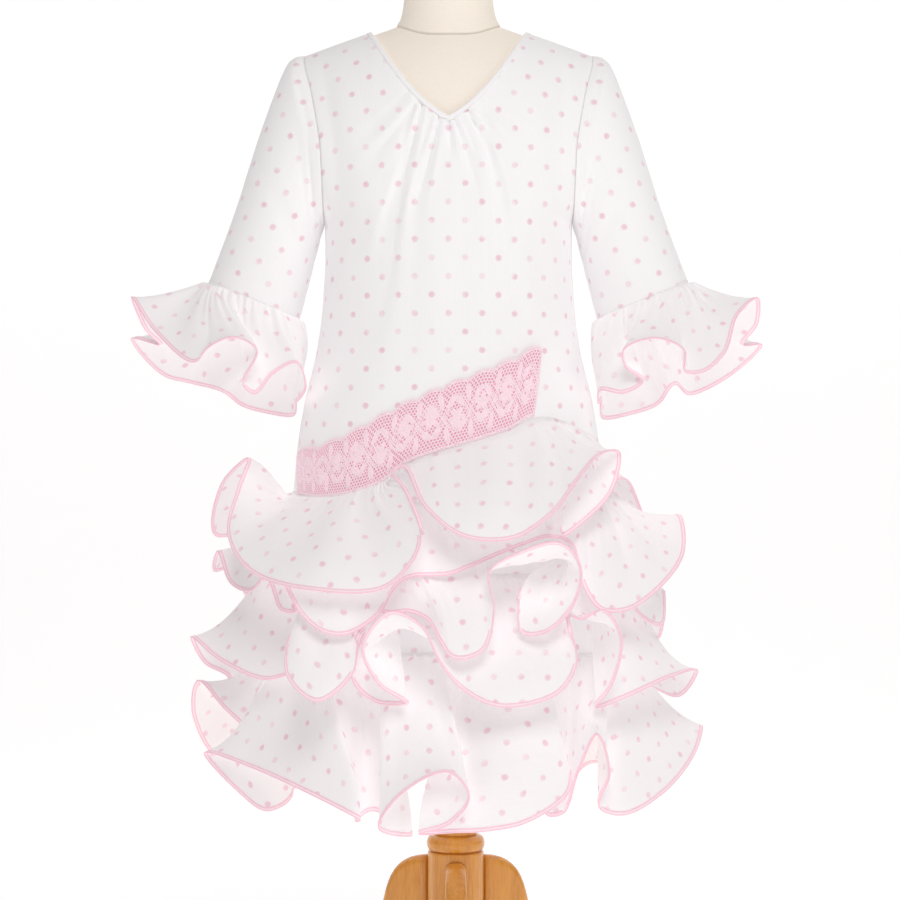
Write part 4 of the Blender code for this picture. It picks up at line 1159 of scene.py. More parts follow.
build_sleeve("sleeve_left_cloth", "sleeve_left", -1)
build_sleeve("sleeve_right_cloth", "sleeve_right", 1)

# %% [markdown]
# ## Five rows of ruffles and two cuffs
# Every row is a circular ruffle: a ring cut with a much longer hem than root, so that it falls in deep
# folds. A fold table says where the hem of each fold lies, how much it leans outwards there and how
# steeply the cloth leaves the seam. A smooth curve through the folds gives the hem, and each line of
# cloth from seam to hem is a bend that leaves the seam and arrives at the hem's lean. The gathers at the
# root and the soft folds below them are added on top, seeded, because the sewing is never quite even; they
# die away before the hem.

# %% Tables of folds
Fold = namedtuple("Fold", "root across forward up lean spring", defaults=(48,))
PROUD = 0.9  # degrees by which a fold springs higher for each millimetre that it stands proud
FRILL = 1.2


def back_folds(height, reach, crest_first=True, count=8, first=118.0, last=240.0):
    """Rows for the side that faces away: forward folds low, tucks between them high."""
    rows = []
    for index in range(count):
        root = first + (last - first) * index / (count - 1)
        crest = (index % 2 == 0) == crest_first
        out = reach * (1.0 if crest else 0.62) + 4.0 * sin(2.3 * index + height)
        up = height + (0.0 if crest else 34.0) + 7.0 * cos(1.7 * index + height)
        place = body_point(root, height + 100.0, out)
        rows.append(Fold(root, place.x, place.y, up, 18 if crest else 42, 60 if crest else 55))
    return tuple(rows)


# Each row has the line of its seam, as degrees and height, and then its folds. A fold's numbers are
# those of Fold, all places in millimetres and all angles in degrees.
RUFFLES = {
    "ruffle_1": (
        (
            (-180, 636), (-90, 617), (-50, 616), (-24, 630), (-13, 648), (0, 660), (22, 677), (38, 690),
            (60, 678), (90, 660), (180, 636),
        ),
        (
            (-108, -238, -45, 575, 20), (-98, -228, -8, 628, 50), (-90, -199, 20, 654, 95),
            (-80, -206, 50, 625, 60), (-68, -213, 80, 583, 35), (-55, -188, 125, 548, 25),
            (-38, -125, 180, 533, 20), (-28, -57, 189, 536, 20), (-24, -26, 182, 574, 30),
            (-22, -40, 146, 622, 45), (-20, -53, 119, 641, 60), (-17, -43, 119, 646, 60),
            (-13, -22, 165, 609, 45), (0, 15, 187, 582, 25), (18, 61, 186, 581, 25),
            (30, 98, 172, 605, 40), (38, 121, 152, 634, 60, 30), (45, 144, 118, 658, 85, 20),
            (50, 165, 88, 659, 100, 12), (54, 160, 96, 630, 60, 40), (58, 146, 115, 610, 37, 60),
            (62, 107, 145, 581, 24, 57), (66, 121, 111, 609, 27, 71), (74, 150, 88, 626, 50, 60),
            (84, 171, 40, 634, 60), (96, 186, -10, 622, 60),
            *back_folds(556, 84),
        ),
    ),
    "ruffle_2": (
        ((-180, 610), (-90, 598), (-20, 606), (40, 622), (90, 622), (180, 610)),
        (
            (-112, -215, -75, 540, 25), (-100, -236, -10, 541, 30), (-90, -228, 25, 562, 80),
            (-80, -212, 65, 533, 40), (-72, -190, 95, 527, 30), (-66, -173, 112, 540, 45),
            (-61, -157, 135, 511, 20, 60), (-57, -143, 142, 511, 15, 75), (-52, -152, 152, 534, 45, 45),
            (-46, -137, 162, 510, 20, 30), (-40, -116, 174, 494, 12, 30), (-35, -94, 178, 492, 10, 30),
            (-29, -66, 170, 508, 20, 35), (-24, -50, 156, 533, 40, 45), (-18, -36, 152, 543, 30),
            (-8, 0, 160, 546, 25), (0, 22, 161, 554, 30), (12, 50, 155, 566, 40), (22, 75, 144, 575, 50),
            (32, 96, 130, 580, 50), (40, 117, 129, 572, 40), (46, 127, 140, 534, 15),
            (54, 142, 147, 513, 15), (62, 166, 138, 511, 20), (72, 198, 112, 528, 30),
            (82, 228, 70, 562, 60), (90, 228, 34, 598, 95), (102, 206, -22, 566, 40),
            *back_folds(508, 84, False),
        ),
    ),
    "ruffle_3": (
        ((-180, 580), (-90, 575), (0, 578), (90, 588), (180, 580)),
        (
            (-112, -205, -70, 512, 25), (-98, -194, -15, 550, 50), (-82, -186, 45, 553, 50),
            (-64, -158, 92, 546, 45), (-50, -122, 130, 536, 40), (-40, -90, 146, 522, 30),
            (-31, -58, 156, 510, 25), (-23, -36, 159, 511, 20), (-17, -19, 168, 504, 15),
            (-12, -7, 182, 485, 12), (-7, 3, 191, 472, 10), (-2, 17, 192, 471, 10), (5, 34, 190, 480, 12),
            (10, 42, 183, 515, 30, 50), (14, 38, 183, 550, 100, 60), (20, 62, 188, 567, 130, 58),
            (29, 103, 187, 577, 132, 52), (35, 122, 182, 554, 90, 25), (39, 115, 178, 518, 40, 25),
            (43, 90, 181, 494, 26, 33), (46, 68, 169, 493, 1, 35), (49, 66, 162, 523, 31, 53),
            (54, 79, 131, 541, 53, 28), (60, 113, 103, 556, 68, 60), (67, 156, 100, 535, 38, 53),
            (76, 188, 82, 500, 20), (84, 208, 60, 492, 20), (94, 214, 20, 522, 45),
            *back_folds(468, 80),
        ),
    ),
    "ruffle_4": (
        ((-180, 545), (-90, 553), (0, 540), (90, 540), (180, 545)),
        (
            (-108, -225, -40, 432, 20), (-98, -246, -15, 448, 40), (-90, -256, 12, 476, 80),
            (-78, -220, 62, 456, 45), (-68, -168, 110, 444, 30, 70), (-61, -126, 124, 470, 30, 84),
            (-54, -131, 128, 500, 40, 62), (-48, -150, 152, 479, 30, 40), (-44, -149, 168, 452, 15, 25),
            (-39, -120, 186, 431, 10, 25), (-34, -88, 184, 456, 15, 25), (-31, -83, 175, 489, 30, 35),
            (-28, -78, 158, 494, 35, 60), (-25, -90, 158, 450, 10, 84), (-22, -68, 163, 428, 10, 84),
            (-19, -40, 170, 428, 15, 76), (-16, -64, 182, 446, 40, 60), (-12, -79, 188, 482, 100, 60),
            (-7, -54, 191, 514, 145, 66), (-2, -26, 192, 503, 140, 66), (3, -8, 189, 468, 70, 55),
            (8, 12, 187, 443, 20, 50), (14, 47, 193, 427, 10, 52), (22, 100, 187, 438, 15, 48),
            (28, 118, 179, 464, 25, 35), (32, 114, 170, 495, 40, 45), (36, 113, 157, 507, 50, 62),
            (40, 124, 154, 504, 75, 70), (45, 145, 170, 514, 130, 62), (50, 161, 166, 486, 70, 50),
            (54, 151, 155, 440, 20, 55), (58, 138, 146, 421, 10, 70), (65, 168, 136, 430, 20),
            (76, 212, 95, 444, 50), (87, 246, 30, 444, 80), (98, 232, -15, 414, 35),
            *back_folds(392, 86, False),
        ),
    ),
    "ruffle_5": (
        ((-180, 462), (-90, 460), (0, 466), (90, 460), (180, 462)),
        (
            (-112, -235, -55, 345, 15), (-100, -259, -28, 395, 50), (-93, -251, -5, 431, 100),
            (-85, -222, 22, 406, 60), (-79, -186, 28, 372, 25, 80), (-74, -152, 62, 326, 10, 84),
            (-70, -176, 74, 313, 5, 75), (-66, -206, 66, 332, 10, 60), (-61, -238, 57, 366, 70, 20),
            (-54, -190, 105, 360, 50, 25), (-44, -125, 163, 341, 30, 35), (-37, -82, 187, 323, 10, 40),
            (-32, -86, 160, 318, 5, 70), (-28, -70, 148, 325, 10, 84), (-24, -34, 158, 304, 0, 84),
            (-19, -64, 188, 315, 20, 50), (-14, -43, 199, 348, 50, 25), (-7, 0, 205, 369, 70, 20),
            (-2, 19, 204, 346, 45, 30), (2, 1, 195, 320, 15, 55), (5, -27, 184, 309, 0, 78),
            (9, 4, 181, 310, 0, 66), (13, 34, 191, 313, 0, 50), (18, 72, 191, 321, 5, 40),
            (27, 110, 178, 345, 20, 30), (32, 113, 162, 362, 30, 55), (36, 91, 152, 322, 5, 84),
            (41, 108, 144, 322, 5, 84), (46, 121, 158, 362, 45, 60), (50, 138, 171, 399, 90, 25),
            (54, 150, 162, 362, 30, 40), (58, 141, 150, 328, 5, 70), (65, 163, 143, 320, 5),
            (75, 205, 105, 335, 20), (84, 240, 55, 365, 40), (92, 252, 15, 388, 70),
            (104, 235, -40, 345, 25),
            *back_folds(302, 86),
        ),
    ),
}

CUFFS = {
    "cuff_ruffle_left": (
        (-90, -313, 28, 813, 85), (-74, -285, 62, 777, 60), (-58, -243, 98, 746, 30),
        (-48, -230, 97, 760, 60), (-38, -205, 101, 770, 80, 35), (-26, -183, 101, 757, 60, 35),
        (-13, -197, 90, 725, 30, 60), (0, -186, 88, 716, 15), (14, -168, 86, 736, 40),
        (30, -146, 83, 746, 50), (46, -138, 72, 724, 20), (66, -150, 40, 708, 8), (90, -153, -5, 712, 5),
        (110, -158, -42, 697, 5), (126, -182, -66, 699, 5), (140, -212, -70, 707, 12),
        (156, -230, -46, 721, 38), (182, -266, -78, 731, 20), (198, -292, -66, 738, 25),
        (210, -312, -50, 757, 45), (222, -322, -35, 775, 80), (240, -290, -8, 768, 60),
        (256, -302, 10, 782, 70),
    ),
    "cuff_ruffle_right": (
        (-90, 153, -5, 712, 5), (-68, 147, 40, 708, 8), (-52, 148, 68, 720, 15), (-38, 170, 83, 717, 15),
        (-26, 187, 88, 728, 30), (-16, 170, 92, 742, 45), (-4, 168, 96, 758, 60), (12, 198, 101, 769, 80),
        (28, 226, 99, 757, 60), (38, 227, 96, 737, 30), (48, 245, 92, 737, 35), (60, 268, 76, 757, 50),
        (74, 282, 55, 793, 75), (86, 305, 32, 812, 90), (98, 308, 8, 788, 70), (110, 296, -10, 768, 55),
        (124, 318, -34, 768, 75), (139, 290, -56, 739, 38), (160, 250, -76, 719, 12),
        (172, 231, -52, 729, 40), (186, 216, -70, 709, 12), (204, 185, -62, 698, 8),
        (230, 158, -46, 694, 5),
    ),
}
print("folds of each row:", [len(folds) for _, folds in RUFFLES.values()])


# %% The hem as a smooth curve, and seeded waves
def hem_samples(folds, count, turn=360.0):
    """Reads a closed table of folds as a smooth curve, with the same number of steps for each fold."""
    total = len(folds)
    lengths = []
    for index, fold in enumerate(folds):
        after = folds[(index + 1) % total]
        level = hypot(after.across - fold.across, after.forward - fold.forward)
        lengths.append(sqrt(hypot(level, after.up - fold.up)))
    samples = []
    for step in range(count):
        place = step * total / count
        index = int(place)
        share = place - index
        picked = [folds[(index + shift) % total] for shift in (-1, 0, 1, 2)]
        spans = [lengths[(index + shift) % total] for shift in (-1, 0, 1)]
        turned = folds[0].root + turn if index + 1 >= total else picked[2].root
        reading = [picked[1].root + (turned - picked[1].root) * share]
        for column in range(1, len(folds[0])):
            reading.append(smooth_step([fold[column] for fold in picked], spans, share))
        samples.append(Fold(*reading))
    return samples


def waves(seed, strands, low, high):
    """A few seeded waves round a ring, with their own counts, phases and sizes."""
    draw = Random(seed)
    return [
        (draw.randint(low, high), draw.uniform(0, 2 * pi), draw.uniform(0.4, 1.0)) for _ in range(strands)
    ]


def wave_at(strands, turn):
    return sum(size * sin(count * turn + phase) for count, phase, size in strands) / len(strands)


print("a hem is read as a smooth curve")

# %% Shape of a ruffle
PUCKER = (3.4, 16.0)  # height of the short gathers at the seam and how far they reach, in millimetres
SOFT_FOLD = (3.2, 42.0)  # the same of the soft folds below them
BROAD_FOLD = 3.0  # height of the broadest waves, which swell in the middle of the ruffle


def ruffle_grid(folds, root_point, around, down, seed, gathers, tucked=(1.3, 4.0)):
    """Rows of points from the seam to the hem: out of the seam, over, and into the hem's lean.

    A fold that reaches further out than its neighbours springs from the seam, a tuck hangs from it.
    """
    hem = hem_samples(folds, around)
    roots = [root_point(fold.root) for fold in hem]
    ends = [Vector((fold.across, fold.forward, fold.up)) for fold in hem]
    reaches = [(end - start).dot(outward) for end, (start, outward) in zip(ends, roots)]
    near = max(around // 14, 2)
    grid = [[] for _ in range(down + 1)]
    for index, (fold, end) in enumerate(zip(hem, ends)):
        start, outward = roots[index]
        beside = [reaches[(index + shift) % around] for shift in range(-near, near + 1)]
        proud = reaches[index] - sum(beside) / len(beside)
        angle = radians(min(max(fold.spring - PROUD * proud, 8.0), 86.0))
        reach = end - start
        length = reach.length
        flat = Vector((reach.x, reach.y, 0))
        flat = (flat.normalized() + 0.6 * outward).normalized() if flat.length > 1 else outward
        leave = outward * cos(angle) - Vector((0, 0, sin(angle)))
        arrive = flat * sin(radians(fold.lean)) - Vector((0, 0, cos(radians(fold.lean))))
        first = start + leave * length * 0.33
        curl = 1.0 + 0.7 * max(fold.lean - 90.0, 0.0) / 60.0
        second = end - arrive * length * 0.36 * curl
        for row in range(down + 1):
            t = (row / down) ** 1.15
            s = 1 - t
            grid[row].append(start * s**3 + first * 3 * s * s * t + second * 3 * s * t * t + end * t**3)
    pucker_ruffle(grid, seed, gathers)
    inner = [start - outward * tucked[0] + Vector((0, 0, tucked[1])) for start, outward in roots]
    return [inner] + grid


def pucker_ruffle(grid, seed, gathers):
    """Lifts the cloth off itself: short gathers at the seam, soft folds below them, a calm hem."""
    columns = len(grid[0])
    puckers = waves(seed, 4, gathers, gathers * 2)
    folds = waves(seed + 1, 3, gathers * 5 // 8, gathers)
    broad = waves(seed + 2, 3, gathers // 4, gathers // 2)
    lifts = []
    for column in range(columns):
        turn = 2 * pi * column / columns
        pucker, fold, wide = wave_at(puckers, turn), wave_at(folds, turn), wave_at(broad, turn)
        line = [row[column] for row in grid]
        runs = lengths_along(line)
        lift = []
        for number, far in enumerate(runs):
            share = far / runs[-1]
            size = PUCKER[0] * max(pucker + 0.3, 0.0) * fading(far / PUCKER[1])
            size += SOFT_FOLD[0] * (fold + 0.35) * fading(far / SOFT_FOLD[1])
            size += BROAD_FOLD * wide * sin(pi * min(share * 1.1, 1.0))
            facing = grid_normal(grid, number, column, closed=True)
            lift.append(facing * size * min(far / 4.0, 1.0) * min((1 - share) / 0.2, 1.0))
        lifts.append(lift)
    for column, lift in enumerate(lifts):
        for number, step in enumerate(lift):
            grid[number][column] = grid[number][column] - step


print("gathers stand", PUCKER[0], "mm high at the seam")

# %% Where ruffles hang from
CUFF_DROP = 0.7


def ruffle_root(heights, thickness):
    """The line on the dress that a ruffle hangs from, just clear of the panel."""
    clear = SEAM_GAP + thickness / 2 + 0.3

    def place(degrees):
        wrapped = (degrees + 180.0) % 360.0 - 180.0
        height = between(heights, wrapped, 0, 1)
        turn = radians(wrapped)
        return body_point(wrapped, height, clear), Vector((sin(turn), cos(turn), 0))

    return place


def cuff_root(side):
    """The end of a sleeve as a ring; 0 degrees is its front, 90 the viewer's right."""
    outer, inner = SLEEVE_OUTER[-1], SLEEVE_INNER[-1]
    centre = Vector((side * (outer.across + inner.across) / 2, 0, (outer.up + inner.up) / 2))
    half = Vector((side * (inner.across - outer.across) / 2, 0, (inner.up - outer.up) / 2))
    half = -half if side > 0 else half
    down = Vector((half.z, 0, -half.x)).normalized()
    down = -down if down.z > 0 else down

    def place(degrees):
        turn = radians(degrees)
        outward = (half.normalized() * sin(turn) + Vector((0, 1, 0)) * cos(turn)).normalized()
        start = centre + half * sin(turn) + Vector((0, SLEEVE_DEPTH * cos(turn), 0))
        return start + down * CUFF_DROP, outward

    return place


print("cuffs hang", CUFF_DROP, "mm below the sleeves")

# %% [markdown]
# ## The cut of a ruffle
# A ruffle lies flat as a chain of narrow trapezoids: short at the root, long at the hem. Laying them side
# by side bends the chain into the circle the ruffle was cut from. The same walk gives every point its
# place on the flat cloth, which keeps the dots round however the ruffle falls.

# %% Lay a ruffle flat
def ring_cut(grid, seed):
    """Flat places, in millimetres, of a closed ruffle; the first column is given again at the end."""
    columns = len(grid[0])
    draw = Random(seed)
    heading = draw.uniform(0, 2 * pi)
    place = Vector((draw.uniform(-200, 200), draw.uniform(-200, 200)))
    downs = [lengths_along([row[column] for row in grid]) for column in range(columns)]
    cut = [[] for _ in grid]
    for column in range(columns + 1):
        here = column % columns
        into = Vector((sin(heading), -cos(heading)))
        for row, fallen in enumerate(downs[here]):
            spot = place + into * fallen
            cut[row].append((spot.x, spot.y))
        after = (here + 1) % columns
        short = (grid[0][after] - grid[0][here]).length
        long = (grid[-1][after] - grid[-1][here]).length
        width = (downs[here][-1] + downs[after][-1]) / 2
        bend = min(max((long - short) / max(width, 1.0), -0.2), 0.35)
        heading += bend / 2
        place = place + Vector((cos(heading), sin(heading))) * short
        heading += bend / 2
    return cut


print("a flat ruffle starts at a seeded place and turns as it is wider at the hem")

# %% [markdown]
# ## The rolled hem
# An overlock machine rolls the raw edge over and covers it with close pink thread. A closed section with
# a ridge along each side is swept along the last row of the cloth. Its own UV map runs along the hem and
# round the section, so that the material can lay slanting stitches between the ridges.

# %% Roll the hem
EDGE_PROFILE = (
    (0.7, 0.0), (0.4, 0.6), (-0.2, 0.85), (-0.9, 0.7), (-1.6, 0.5), (-2.3, 0.7), (-2.9, 0.85), (-3.5, 0.36),
)


def hem_edging(name, grid):
    """A band of pink thread folded over the hem: a closed section swept along the last row."""
    columns = len(grid[0])
    section = list(EDGE_PROFILE) + [(down, -out) for down, out in EDGE_PROFILE[:0:-1]]
    points = []
    for column in range(columns):
        end = grid[-1][column]
        before, after = grid[-1][column - 1], grid[-1][(column + 1) % columns]
        along = (after - before).normalized()
        down = end - grid[-2][column]
        down = (down - along * down.dot(along)).normalized()
        facing = along.cross(down)
        for drop, out in section:
            points.append(end + down * drop + facing * out)
    count = len(section)
    quads, flat = [], []
    run = lengths_along(grid[-1] + [grid[-1][0]])
    lowest, highest = EDGE_PROFILE[-1][0], EDGE_PROFILE[0][0]
    for column in range(columns):
        here, right = column * count, (column + 1) % columns * count
        for step in range(count):
            after = (step + 1) % count
            quads.append((here + step, right + step, right + after, here + after))
            for far, spot in ((column, step), (column + 1, step), (column + 1, after), (column, after)):
                flat += (run[far] * MM, (section[spot][0] - lowest) / (highest - lowest))
    piece = new_piece(name, points, quads, EDGING)
    layer = piece.data.uv_layers.new(name="cut")
    layer.data.foreach_set("uv", flat)
    return piece


print("a hem's section has", 2 * len(EDGE_PROFILE) - 1, "corners")


# %% Build the rows and the cuffs
STEPS_PER_FOLD = 12


def build_ruffle(name, node_name, rows, root, down, seed, gathers):
    folds = [Fold(*row) for row in rows]
    around = STEPS_PER_FOLD * len(folds)
    grid = ruffle_grid(folds, root, around, down, seed, gathers)
    piece = cloth_piece(name, grid, ring_cut(grid, seed), RUFFLED, closed=True, offset=0.0)
    keep(piece, [node_name])
    edge = hem_edging(name + "_edging", grid)
    face_outwards(edge)
    keep(edge, [])
    declare(piece, grid, closed=True)


for number, (name, (heights, rows)) in enumerate(RUFFLES.items()):
    build_ruffle(name + "_cloth", name, rows, ruffle_root(heights, FRILL), 26, 11 + number, 76)
for number, (name, rows) in enumerate(CUFFS.items()):
    side = -1 if name.endswith("left") else 1
    build_ruffle(name + "_cloth", name, rows, cuff_root(side), 24, 31 + number, 34)

# %% [markdown]
# ## The lace band
# The band is machine lace: a net of six-sided meshes with leaves and flowers of thread worked over it and
# a row of small loops along both edges. It is made flat, where repeats are easy, and then laid on the
# body: its length follows the front and its width runs from the lower to the upper edge of the band. A
# sheet of a deeper pink just under the threads is painted shade: it fills the holes with the dark of their
# shadow.

# %% Where the band lies
Band = namedtuple("Band", "across lower upper")
LACE_BAND = (
    Band(-149, 620, 663), Band(-126, 617.5, 667), Band(-106, 619, 674), Band(-84, 624, 685),
    Band(-62, 633, 697), Band(-42, 650, 707), Band(-13, 660.5, 720), Band(32, 673, 738),
    Band(62, 682, 750), Band(90, 695, 763),
)
SCALLOP = 24.0
SCALLOP_DEPTH = 4.0
LACE_LONG, LACE_WIDE = 290.0, 58.0
LACE_MIDDLE = LACE_WIDE / 2
LACE_ROUND = 151.0  # radius of the circle that spreads the band evenly round the front
LACE_FROM, LACE_TURN = -78.0, 114.6  # degrees where it starts on that circle, and how far it goes


def laid(far, wide, out):
    """A place of the flat band on the dress: far along it, wide from its lower edge, out from the cloth."""
    share = far / LACE_LONG
    across = LACE_ROUND * sin(radians(LACE_FROM + LACE_TURN * share))
    lower = between(LACE_BAND, across, 0, 1)
    upper = between(LACE_BAND, across, 0, 2)
    upper -= SCALLOP_DEPTH * (1 - abs(sin(pi * (across - LACE_BAND[0].across) / SCALLOP)))
    down = 1 - wide / LACE_WIDE
    height = upper + (lower - upper) * down
    moved = across - 8.0 * down * max(share - 0.7, 0) / 0.3
    point = Vector((moved, body_depth(moved, height, 1), height))
    return point + body_normal(point, 1) * out


def lay_mesh(piece, rise):
    """Moves a flat piece (x along the band, y across it, z up, in metres) onto the dress."""
    for vertex in piece.data.vertices:
        x, y, z = vertex.co / MM
        vertex.co = in_scene(laid(x, y, rise + z))
    piece.data.shade_smooth()


print("the band is", LACE_LONG, "x", LACE_WIDE, "mm before it is laid")


# %% A tree that knots a net
def sweep_thread(tree, curve, radius, sides):
    """Sweeps a round thread along a curve."""
    ring = add_named(tree, "GeometryNodeCurvePrimitiveCircle", Resolution=sides, Radius=radius).outputs[0]
    swept = add_named(tree, "GeometryNodeCurveToMesh", Curve=curve, Profile_Curve=ring, Fill_Caps=True)
    return swept.outputs[0]


def net_tree():
    sizes = (("Long", 0.29), ("Wide", 0.058), ("Mesh", 0.0031), ("Thread", 0.00055), ("Uneven", 0.0012))
    tree, given = new_tree("knotted_net", sizes, "Yarn")
    row = maths(tree, "MULTIPLY", given["Mesh"], 0.866)
    lean = maths(tree, "MULTIPLY", given["Wide"], 0.578)
    long = maths(tree, "ADD", given["Long"], maths(tree, "MULTIPLY", lean, 2.0))
    half_long = maths(tree, "MULTIPLY", given["Long"], 0.5)
    half_wide = maths(tree, "MULTIPLY", given["Wide"], 0.5)
    sheet = add_named(
        tree, "GeometryNodeMeshGrid", Size_X=long, Size_Y=given["Wide"],
        Vertices_X=maths(tree, "ROUND", maths(tree, "DIVIDE", long, given["Mesh"])),
        Vertices_Y=maths(tree, "ROUND", maths(tree, "DIVIDE", given["Wide"], row)),
    )
    cut = add(tree, "GeometryNodeTriangulate", sheet.outputs[0]).outputs[0]
    where = tree.nodes.new("GeometryNodeInputPosition").outputs[0]
    parts = add(tree, "ShaderNodeSeparateXYZ", where).outputs
    slip = add(tree, "ShaderNodeCombineXYZ", maths(tree, "MULTIPLY", parts[1], 0.577), 0.0, 0.0).outputs[0]
    sheared = add_named(tree, "GeometryNodeSetPosition", Geometry=cut, Offset=slip).outputs[0]
    holes = add(tree, "GeometryNodeDualMesh", sheared).outputs[0]
    outside = maths(tree, "GREATER_THAN", maths(tree, "ABSOLUTE", parts[0]), half_long)
    inside = add_named(tree, "GeometryNodeDeleteGeometry", Geometry=holes, Selection=outside).outputs[0]
    drift = vectors(tree, "SUBTRACT", noise(tree, where, 260.0).outputs["Color"], (0.5, 0.5, 0.5))
    uneven = add(tree, "ShaderNodeCombineXYZ", given["Uneven"], given["Uneven"], 0.0).outputs[0]
    corner = add(tree, "ShaderNodeCombineXYZ", half_long, half_wide, 0.0).outputs[0]
    slip = vectors(tree, "ADD", vectors(tree, "MULTIPLY", drift, uneven), corner)
    moved = add_named(tree, "GeometryNodeSetPosition", Geometry=inside, Offset=slip).outputs[0]
    lines = add(tree, "GeometryNodeMeshToCurve", moved).outputs[0]
    return end_tree(tree, sweep_thread(tree, lines, given["Thread"], 5), given["Yarn"])


ANY_LINE = [Vector((0, 0, 0)), Vector((1, 0, 0))]  # the tree makes its own grid and needs no line
net = made_by_nodes("lace_net", net_tree(), {"Yarn": LACE_THREAD}, lines=[ANY_LINE])
lay_mesh(net, 1.3)
keep(net, [])
print("net", len(net.data.polygons), "faces")


# %% Threads of the pattern
def thread_tree():
    tree, given = new_tree("thread_along_a_line", (("Thread", 0.0005),), "Yarn")
    curve = add(tree, "GeometryNodeMeshToCurve", given["Geometry"]).outputs[0]
    return end_tree(tree, sweep_thread(tree, curve, given["Thread"], 6), given["Yarn"])


THREADS = thread_tree()


def petal(centre, turn, long, wide, steps=14):
    """A pointed loop from the centre outwards."""
    loop = []
    for step in range(steps):
        share = 2 * pi * step / steps
        far = long * (0.5 - 0.5 * cos(share))
        off = wide * sin(share) * (0.55 + 0.45 * (0.5 - 0.5 * cos(share)))
        aside, up = far * cos(turn) - off * sin(turn), far * sin(turn) + off * cos(turn)
        loop.append((centre[0] + aside, centre[1] + up))
    return loop


Leaf = namedtuple("Leaf", "far wide degrees long half")
SPRAY = ((90, 9, 16), (50, 8, 12), (130, 8, 12), (270, 9, 16), (230, 8, 12), (310, 8, 12))
LACE_REPEATS = 12
LACE_REPEAT = LACE_LONG / LACE_REPEATS


def lace_leaves():
    """Five-petalled flowers along the middle of the band and sprays of leaves between them."""
    leaves = []
    for number in range(LACE_REPEATS):
        middle = (number + 0.5) * LACE_REPEAT
        for leaf in range(5):
            up = LACE_MIDDLE + 3.0 * sin(2.2 * number)
            leaves.append(Leaf(middle, up, 72 * leaf + 25 * number, 8.0, 2.7))
        for degrees, start, long in SPRAY:
            leaning = degrees + 10 * sin(1.7 * number)
            turn = radians(leaning)
            far = number * LACE_REPEAT + start * cos(turn)
            if far + long * cos(turn) > 0:
                leaves.append(Leaf(far, LACE_MIDDLE + start * sin(turn), leaning, long, 2.8))
    return leaves


def leaf_loop(leaf, size):
    long = leaf.long * (0.72 + 0.28 * size)
    return petal((leaf.far, leaf.wide), radians(leaf.degrees), long, leaf.half * size)


def beside(line, gap, count):
    """Parallel copies of a line, a gap apart."""
    copies = []
    for number in range(count):
        off = gap * (number - (count - 1) / 2)
        copy = []
        for index, (x, y) in enumerate(line):
            before, after = line[max(index - 1, 0)], line[min(index + 1, len(line) - 1)]
            dx, dy = after[0] - before[0], after[1] - before[1]
            copy.append((x - dy / hypot(dx, dy) * off, y + dx / hypot(dx, dy) * off))
        copies.append(copy)
    return copies


def lace_loops():
    return [leaf_loop(leaf, size) for leaf in lace_leaves() for size in (1.0, 0.55)]


print("a repeat of the lace is", round(LACE_REPEAT, 1), "mm long")

# %% Ropes, cords and loops
EDGE_CORDS = ((0.4, 0.5), (2.0, 0.4), (56.0, 0.4), (57.4, 0.5))  # height and waviness of each
TOP_LOOP = ((-1.6, 57.2), (-1.2, 58.6), (0, 59.3), (1.2, 58.6), (1.6, 57.2))
LOW_LOOP = ((-1.6, 0.6), (-1.0, -0.4), (0, -0.9), (1.0, -0.4), (1.6, 0.6))
LOOP_PITCH = 4


def lace_lines():
    """Twisted ropes that swing along the band, cords and small loops along both edges, and its end."""
    lines = []
    steps = [LACE_LONG * step / 290 for step in range(291)]
    for swing in (15.0, -15.0):
        rope = [(far, LACE_MIDDLE + swing * sin(pi * far / LACE_REPEAT)) for far in steps]
        lines += beside(rope, 1.7, 3)
    for level, waviness in EDGE_CORDS:
        lines.append([(far, level + waviness * sin(2 * pi * far / LOOP_PITCH)) for far in steps])
    for far in range(2, int(LACE_LONG) - 1, LOOP_PITCH):
        for loop in (TOP_LOOP, LOW_LOOP):
            lines.append([(far + aside, up) for aside, up in loop])
    for level in (0.4, 1.6):
        lines.append([(LACE_LONG - level, 1.0 + share) for share in range(0, 57, 2)])
    return lines


def flat_line(line, lift=0.0):
    """Undoes the step to the scene so that a flat line can pass through the same maker."""
    return [Vector((x - MOVED_X / MM, MOVED_Y / MM - y, lift)) for x, y in line]


print("the pattern has", len(lace_leaves()), "leaves and", len(lace_lines()), "lines")

# %% Make the pattern, the satin leaves and the sheet of painted shade
pattern = made_by_nodes(
    "lace_pattern", THREADS, {"Thread": 0.00042, "Yarn": LACE_THREAD},
    lines=[flat_line(line) for line in lace_lines()],
    loops=[flat_line(loop, 0.35) for loop in lace_loops()],
)
lay_mesh(pattern, 1.5)
keep(pattern, [])
print("pattern", len(pattern.data.polygons), "faces")

satin_points, satin_faces = [], []
for leaf in lace_leaves():
    outline = leaf_loop(leaf, 1.0)
    satin_faces.append(tuple(range(len(satin_points), len(satin_points) + len(outline))))
    satin_points += [laid(x, y, 1.75) for x, y in outline]
satin = new_piece("lace_satin", satin_points, satin_faces, LACE_LEAF)
wall = satin.modifiers.new("thickness", "SOLIDIFY")
wall.thickness = 0.3 * MM
wall.offset = 0.0
keep(satin, [])
print("satin stitch fills", len(satin_faces), "leaves")

# a sheet of deeper pink under the threads: painted shade in the holes
flat_lace = [
    [(LACE_LONG * step / 120, LACE_WIDE * (1 - row / 16)) for step in range(121)] for row in range(17)
]
lace_rows = [[laid(far, wide, 1.1) for far, wide in row] for row in flat_lace]
hole_shade_sheet = cloth_piece("lace_ground_sheet", lace_rows, flat_lace, LACE_HOLE_SHADE, thick=0.3)
keep(hole_shade_sheet, ["lace_band"])
declare(hole_shade_sheet, lace_rows)

